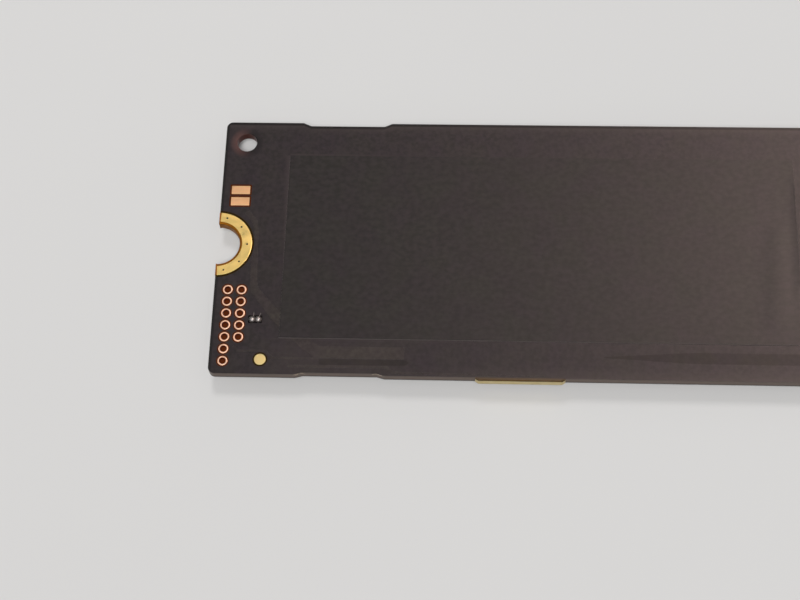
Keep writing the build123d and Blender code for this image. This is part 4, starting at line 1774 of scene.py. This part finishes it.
@dataclass
class Inductor(CardPiece):
    """A pressed power inductor: a rounded block with a sunken top over two flat terminals."""

    number: int
    edge: float = 0.045
    corner: float = 0.15
    top_inset: float = 0.2
    top_sink: float = 0.02
    toe_reach: float = 0.2
    toe_share: float = 0.96
    toe_climb: float = 0.16

    def build(self) -> None:
        """Models the block, dresses its terminals and adds their solder toes."""
        node = f"inductor_{self.number}"
        box = node_box(node)
        body = block(f"{node}_block", box.low, box.high)
        round_corners(body, self.corner, 3)
        pick_faces(body, lambda middle, normal: normal.z < -0.9)
        bpy.ops.mesh.inset(thickness=self.top_inset)
        bpy.ops.transform.translate(value=(0, 0, self.top_sink))
        begin()
        soften(body, self.edge, segments=3, angle=60)
        smooth(body, 50)
        settle(body, [self.finishes.inductor], [node])
        terminals = solids_of(f"{node}_terminals")
        dress(f"{node}_terminals", self.finishes.tin)
        toe = solder_toe(self.toe_reach, terminals[0].size.y * self.toe_share, self.toe_climb)
        smooth(toe)
        places = []
        for solid in terminals:
            right = solid.middle.x > box.middle.x
            spot = (solid.high.x if right else solid.low.x, solid.middle.y, BOARD.low.z)
            places.append((spot, 0.0 if right else 180.0))
        settle(scatter(toe, places, f"{node}_toes"), [self.finishes.tin])


@dataclass
class ClockCrystal(CardPiece):
    """A ceramic boat closed by a seam-welded metal lid."""

    base_edge: float = 0.1
    edge: float = 0.02
    weld_width: float = 0.14
    weld_height: float = 0.03

    def build(self) -> None:
        """Models the boat with its rounded corners and the lid with its welded rim."""
        base = node_box("crystal_base")
        boat = block("crystal_boat", base.low, base.high)
        round_corners(boat, self.base_edge, 4)
        soften(boat, self.edge, angle=60)
        smooth(boat)
        settle(boat, [self.finishes.crystal], ["crystal_base"])
        box = node_box("crystal_lid")
        lid = block("crystal_cover", box.low, box.high)
        round_corners(lid, self.base_edge, 4)
        pick_faces(lid, lambda middle, normal: normal.z < -0.9)
        bpy.ops.mesh.inset(thickness=self.weld_width)
        bpy.ops.transform.translate(value=(0, 0, self.weld_height))
        begin()
        soften(lid, self.edge, segments=3, angle=40)
        smooth(lid)
        settle(lid, [self.finishes.lid], ["crystal_lid"])


@dataclass
class LowerRelief(CardPiece):
    """Copper stubs and covered vias under the coating of the chip face, and white ink beside the parts."""

    lift: float = 0.018
    stub_width: float = 0.24
    stub_length: float = 0.55
    via_radius: float = 0.24
    lane_width: float = 0.16
    ink_width: float = 0.12
    ink_height: float = 0.012
    ink_gap: float = 0.22
    tick: float = 1.1
    row_pitch: float = 2.5
    lane_pins: tuple[int, ...] = (43, 41, 31, 29, 19, 17, 7, 5)
    stub_pins: tuple[int, ...] = (11, 13, 23, 25, 35, 37, 47, 49)
    lane_start: float = 0.1
    lane_bend: float = 0.75
    lane_via: float = 1.25
    chip_bend: float = 0.95
    chip_reach: float = 0.5
    pin_stub: float = 0.9
    row_inset: float = 0.55
    row_end: float = 7.0
    middle_pin: int = 38
    pin_pitch: float = 0.25

    def via_model(self) -> Piece:
        """Models one covered via: a low round boss with a dimple.

        Returns:
            The boss at the origin, looking down.
        """
        profile = [
            (0.05, 0.005),
            (self.via_radius, 0.005),
            (self.via_radius * 0.92, -self.lift * 0.7),
            (self.via_radius * 0.75, -self.lift),
            (0.1, -self.lift),
            (0.05, -self.lift * 0.5),
        ]
        model = lathe("via", profile, (0.0, 0.0), 360, 16)
        smooth(model, 60)
        return model

    def chip_stubs(self) -> tuple[list[list[Spot]], list[Spot]]:
        """Plans a short copper stub with a via at the outer end of each chip part.

        Returns:
            The routes of the stubs and the places of their vias.
        """
        routes, vias = [], []
        for kind in ("small_capacitor", "resistor", "bulk_capacitor"):
            for body in solids_of(f"{kind}_bodies"):
                along = Vector((1, 0)) if body.size.x >= body.size.y else Vector((0, 1))
                reach = max(body.size.x, body.size.y) / 2 + 0.3
                for side in (-1, 1):
                    start = body.middle.xy + along * side * reach
                    stop = start + along * side * self.stub_length
                    if abs(stop.y) < BOARD.high.y - 0.6:
                        routes.append([tuple(start), tuple(stop)])
                        vias.append(tuple(stop))
        return routes, vias

    def lanes(self) -> tuple[list[list[Spot]], list[Spot]]:
        """Plans the data lanes from the contacts through the coupling capacitors to their vias.

        Returns:
            The routes of the lanes and the places of their vias.
        """
        root = node_box("lower_contacts").low.x
        start = root + self.lane_start
        routes, vias = [], []
        bodies = sorted(solids_of("coupling_capacitor_bodies"), key=lambda s: s.middle.y)
        for body, pin in zip(bodies, self.lane_pins):
            pin_y = (self.middle_pin - pin) * self.pin_pitch
            x, y = body.middle.x, body.middle.y
            bend, reach, far = root - self.lane_bend, self.chip_reach, self.lane_via
            turn = max(x + self.chip_bend, bend - abs(pin_y - y) / 2)
            routes.append([(start, pin_y), (bend, pin_y), (turn, y), (x + reach, y)])
            routes.append([(x - reach, y), (x - far, y)])
            vias.append((x - far, y))
        for pin in self.stub_pins:
            pin_y = (self.middle_pin - pin) * self.pin_pitch
            routes.append([(start, pin_y), (root - self.pin_stub, pin_y)])
            vias.append((root - self.pin_stub, pin_y))
        return routes, vias

    def ink_marks(self) -> list[list[Spot]]:
        """Plans white corner ticks round the packages.

        Returns:
            The routes of the ticks.
        """
        routes = []
        packages = ["flash_a", "flash_b", "buffer_memory", "controller", "power_regulator"]
        packages += ["temperature_sensor", "boot_memory", "load_switch", "crystal_base"]
        for node in packages:
            box = node_box(node)
            reach = min(self.tick, min(box.size.x, box.size.y) * 0.25)
            for side_x in (-1, 1):
                for side_y in (-1, 1):
                    x = box.middle.x + side_x * (box.size.x / 2 + self.ink_gap)
                    y = box.middle.y + side_y * (box.size.y / 2 + self.ink_gap)
                    routes.append([(x - side_x * reach, y), (x, y), (x, y - side_y * reach)])
        return routes

    def lay(self, routes: list[list[Spot]], width: float, height: float) -> list[Piece]:
        """Lays strips of one width on the chip face.

        Args:
            routes: Points of each strip.
            width: Width of the strips.
            height: How far they stand off the board.

        Returns:
            The strips.
        """
        strips = []
        for route in routes:
            run = strip(route, [width] * len(route), Face.CHIP, BOARD.low.z - height)
            modify(run, "SOLIDIFY", thickness=height + 0.004, offset=-1)
            soften(run, height * 0.5, segments=2, angle=60)
            strips.append(run)
        return strips

    def build(self) -> None:
        """Lays the copper, the vias and the ink."""
        stubs, stub_vias = self.chip_stubs()
        lanes, lane_vias = self.lanes()
        runs = self.lay(stubs, self.stub_width, self.lift) + self.lay(lanes, self.lane_width, self.lift)
        piece = join(runs, "chip_face_runs")
        smooth(piece)
        settle(piece, [self.finishes.coated_copper])
        edge_vias = []
        for number in range(int((BOARD.size.x - 2 * self.row_end) / self.row_pitch)):
            x = MOUNT_END + self.row_end + number * self.row_pitch
            edge_vias += [(x, side * (BOARD.high.y - self.row_inset)) for side in (-1, 1)]
        places = [((x, y, BOARD.low.z), 0.0) for x, y in stub_vias + lane_vias + edge_vias]
        bosses = scatter(self.via_model(), places, "covered_vias")
        settle(bosses, [self.finishes.coated_copper])
        marks = join(self.lay(self.ink_marks(), self.ink_width, self.ink_height), "ink_marks")
        smooth(marks)
        settle(marks, [self.finishes.ink])


# Stage


@dataclass(frozen=True)
class Panel:
    """A soft lamp: its name, place and sides in millimetres, power in watts, tone and what it acts on."""

    name: str
    place: Point
    sides: Spot
    power: float
    tone: str = "#ffffff"
    reach: Reach = Reach.ALL


@dataclass
class Studio:
    """Pale table, soft lamps and the camera at the photograph's place."""

    table_size: float = 3.0
    table_tone: str = "#d6d5d4"
    table_pale: str = "#dad9d8"
    table_cloud: float = 60.0
    table_roughness: float = 0.8
    table_specular: float = 0.2
    lens: float = 76.067
    sensor: float = 36.0
    clip: Spot = (0.005, 20.0)
    eye: Point = (-19.196, -56.306, 123.67)
    right: Point = (0.99883, 0.03132, -0.03695)
    ahead: Point = (-0.04626, 0.39052, -0.91943)
    sky_tone: str = "#f6f5f4"
    sky_strength: float = 0.21
    sky_mirrored: float = 0.55
    sun_strength: float = 2.2
    sun_from: Point = (0.03, -0.42, 0.91)
    sun_spread: float = 20.0
    sheen_panel: Panel = Panel(
        "sheen_panel", (540.0, 650.0, 1240.0), (400.0, 400.0), 6.7, "#ffddd0", Reach.GLOSS
    )
    far_panel: Panel = Panel(
        "far_panel", (-110.0, 450.0, 890.0), (220.0, 220.0), 1.8, "#ffffff", Reach.MATT
    )
    under_panel: Panel = Panel("under_panel", (0.0, -20.0, -300.0), (260.0, 200.0), 2.0)
    under_spot: Panel = Panel("under_spot", (0.0, 0.0, -900.0), (60.0, 60.0), 8.0, reach=Reach.MATT)

    def build_table(self) -> None:
        """Lays the table: pale, matte, and see-through from below so that the chip face shows."""
        begin()
        bpy.ops.mesh.primitive_grid_add(x_subdivisions=8, y_subdivisions=8, size=self.table_size)
        table = added("table")
        material, tree, shader, place = start_material("matte white table top")
        cloud = add(tree, "TexNoise", {"Vector": place, "Scale": 1 / self.table_cloud, "Detail": 3.0})
        pale = paint(tree, self.table_tone, (cloud, self.table_pale))
        tree.links.new(pale, shader.inputs["Base Color"])
        shader.inputs["Roughness"].default_value = self.table_roughness
        shader.inputs["Specular IOR Level"].default_value = self.table_specular
        back = add(tree, "NewGeometry", out="Backfacing")
        clear = add(tree, "BsdfTransparent")
        mixed = add(tree, "MixShader", {0: back, 1: shader.outputs[0], 2: clear})
        tree.links.new(mixed, tree.nodes["Material Output"].inputs["Surface"])
        table.data.materials.append(material)
        LOG.info("table laid")

    def build_lamps(self) -> None:
        """Lights the room evenly, from a high ceiling and from two soft panels beyond the far side."""
        world = bpy.data.worlds.new("white room")
        bpy.context.scene.world = world
        world.use_nodes = True
        tree = world.node_tree
        sky = tree.nodes["Background"]
        sky.inputs["Color"].default_value = linear(self.sky_tone)
        # The white room behind the camera shows in metal and gloss, and lights the card less
        rays = add(tree, "LightPath", out=None).outputs
        shown = rays["Is Camera Ray"]
        for ray in ("Is Glossy Ray", "Is Transmission Ray"):
            shown = add(tree, "Math", {0: shown, 1: rays[ray]}, operation="MAXIMUM")
        levels = {"Value": shown, "To Min": self.sky_strength, "To Max": self.sky_mirrored}
        tree.links.new(add(tree, "MapRange", levels), sky.inputs["Strength"])
        begin()
        bpy.ops.object.light_add(type="SUN", location=(0, 0, 0.5))
        sun = bpy.context.view_layer.objects.active
        sun.name = "ceiling_light"
        sun.data.energy = self.sun_strength
        sun.data.angle = math.radians(self.sun_spread)
        sun.rotation_euler = (-Vector(self.sun_from)).to_track_quat("-Z", "Y").to_euler()
        for panel in (self.sheen_panel, self.far_panel):
            self.hang(panel)
        self.light_chip_face()

    def light_chip_face(self) -> None:
        """Lights the chip face past the table for a look from below, with none of it reaching the table.

        A wide lamp lights only the pieces of the chip face and a narrow one, square to it, only the board.
        """
        card = bpy.data.collections.new("card_pieces")
        hanging = bpy.data.collections.new("chip_face_pieces")
        through = bpy.data.collections.new("board_pieces")
        for piece in bpy.data.objects:
            if piece.type == "MESH" and piece.name != "table":
                card.objects.link(piece)
                below = max(corner[2] for corner in piece.bound_box) / MM < BOARD.low.z + 0.1
                if below or piece.name == "test_rings":
                    hanging.objects.link(piece)
                else:
                    through.objects.link(piece)
        for panel, receivers in ((self.under_panel, hanging), (self.under_spot, through)):
            lamp = self.hang(panel)
            lamp.data.cycles.max_bounces = 0
            lamp.light_linking.blocker_collection = card
            lamp.light_linking.receiver_collection = receivers

    def hang(self, panel: Panel) -> Piece:
        """Hangs one area lamp that looks at the card.

        Args:
            panel: Name, place, sides and power of the lamp.

        Returns:
            The lamp.
        """
        begin()
        spot = Vector(panel.place) * MM
        bpy.ops.object.light_add(type="AREA", location=spot)
        lamp = bpy.context.view_layer.objects.active
        lamp.name = panel.name
        lamp.data.shape = "RECTANGLE"
        lamp.data.size, lamp.data.size_y = (side * MM for side in panel.sides)
        lamp.data.energy = panel.power
        lamp.data.color = linear(panel.tone)[:3]
        lamp.visible_diffuse, lamp.visible_glossy = panel.reach.value
        lamp.rotation_euler = (-spot).to_track_quat("-Z", "Y").to_euler()
        LOG.info("lamp %s hung", panel.name)
        return lamp

    def build_camera(self) -> None:
        """Places the camera by its fitted axes."""
        begin()
        bpy.ops.object.camera_add()
        camera = bpy.context.view_layer.objects.active
        camera.name = "photo_camera"
        back = -Vector(self.ahead).normalized()
        right = Vector(self.right)
        right = (right - back * right.dot(back)).normalized()
        up = back.cross(right)
        turn = Matrix((right, up, back)).transposed().to_4x4()
        camera.matrix_world = Matrix.Translation(Vector(self.eye) * MM) @ turn
        camera.data.sensor_width = self.sensor
        camera.data.lens = self.lens
        camera.data.clip_start, camera.data.clip_end = self.clip
        bpy.context.scene.camera = camera
        LOG.info("camera placed")


def main() -> None:
    """Builds the card piece by piece, then the stage."""
    logging.basicConfig(level=logging.INFO, format="%(name)s %(message)s")
    bpy.context.scene.view_settings.view_transform = "Standard"
    finishes = Finishes()
    dress("circuit_board", finishes.coated_laminate)
    ScrewPad(finishes).build()
    TestPoints(finishes).build()
    FlatPads("service_pads", "copper_lands", "bare_copper", finishes.copper).build()
    FlatPads("upper_fiducial", "upper_mark", "gold_plating", finishes.pale_gold, round_pad=True).build()
    FlatPads("lower_fiducials", "lower_marks", "gold_plating", finishes.gold, round_pad=True).build()
    for assembly in (SolderDots, ResinBorders, EdgeStrip, FrayedGlass, CoverFilm, UpperRelief):
        assembly(finishes).build()
    for node in ("upper_contacts", "lower_contacts"):
        FlatPads(node, f"{node}_fingers", "gold_plating", finishes.gold).build()
    for node in ("flash_a", "flash_b", "buffer_memory", "controller"):
        BallGridPackage(finishes, node).build()
    for node in ("power_regulator", "temperature_sensor", "boot_memory", "load_switch"):
        LeadlessPackage(finishes, node).build()
    for number in (1, 2, 3):
        Inductor(finishes, number).build()
    ClockCrystal(finishes).build()
    for kind, slot, body_finish in (
        ("bulk_capacitor", "capacitor_ceramic", finishes.capacitor),
        ("small_capacitor", "capacitor_ceramic", finishes.capacitor),
        ("coupling_capacitor", "capacitor_ceramic", finishes.capacitor),
        ("resistor", "resistor_glaze", finishes.resistor),
        ("input_fuse", "fuse_ceramic", finishes.fuse),
    ):
        ChipParts(finishes, kind, slot, body_finish).build()
    LowerRelief(finishes).build()
    studio = Studio()
    studio.build_table()
    studio.build_lamps()
    studio.build_camera()


if __name__ == "__main__":
    main()
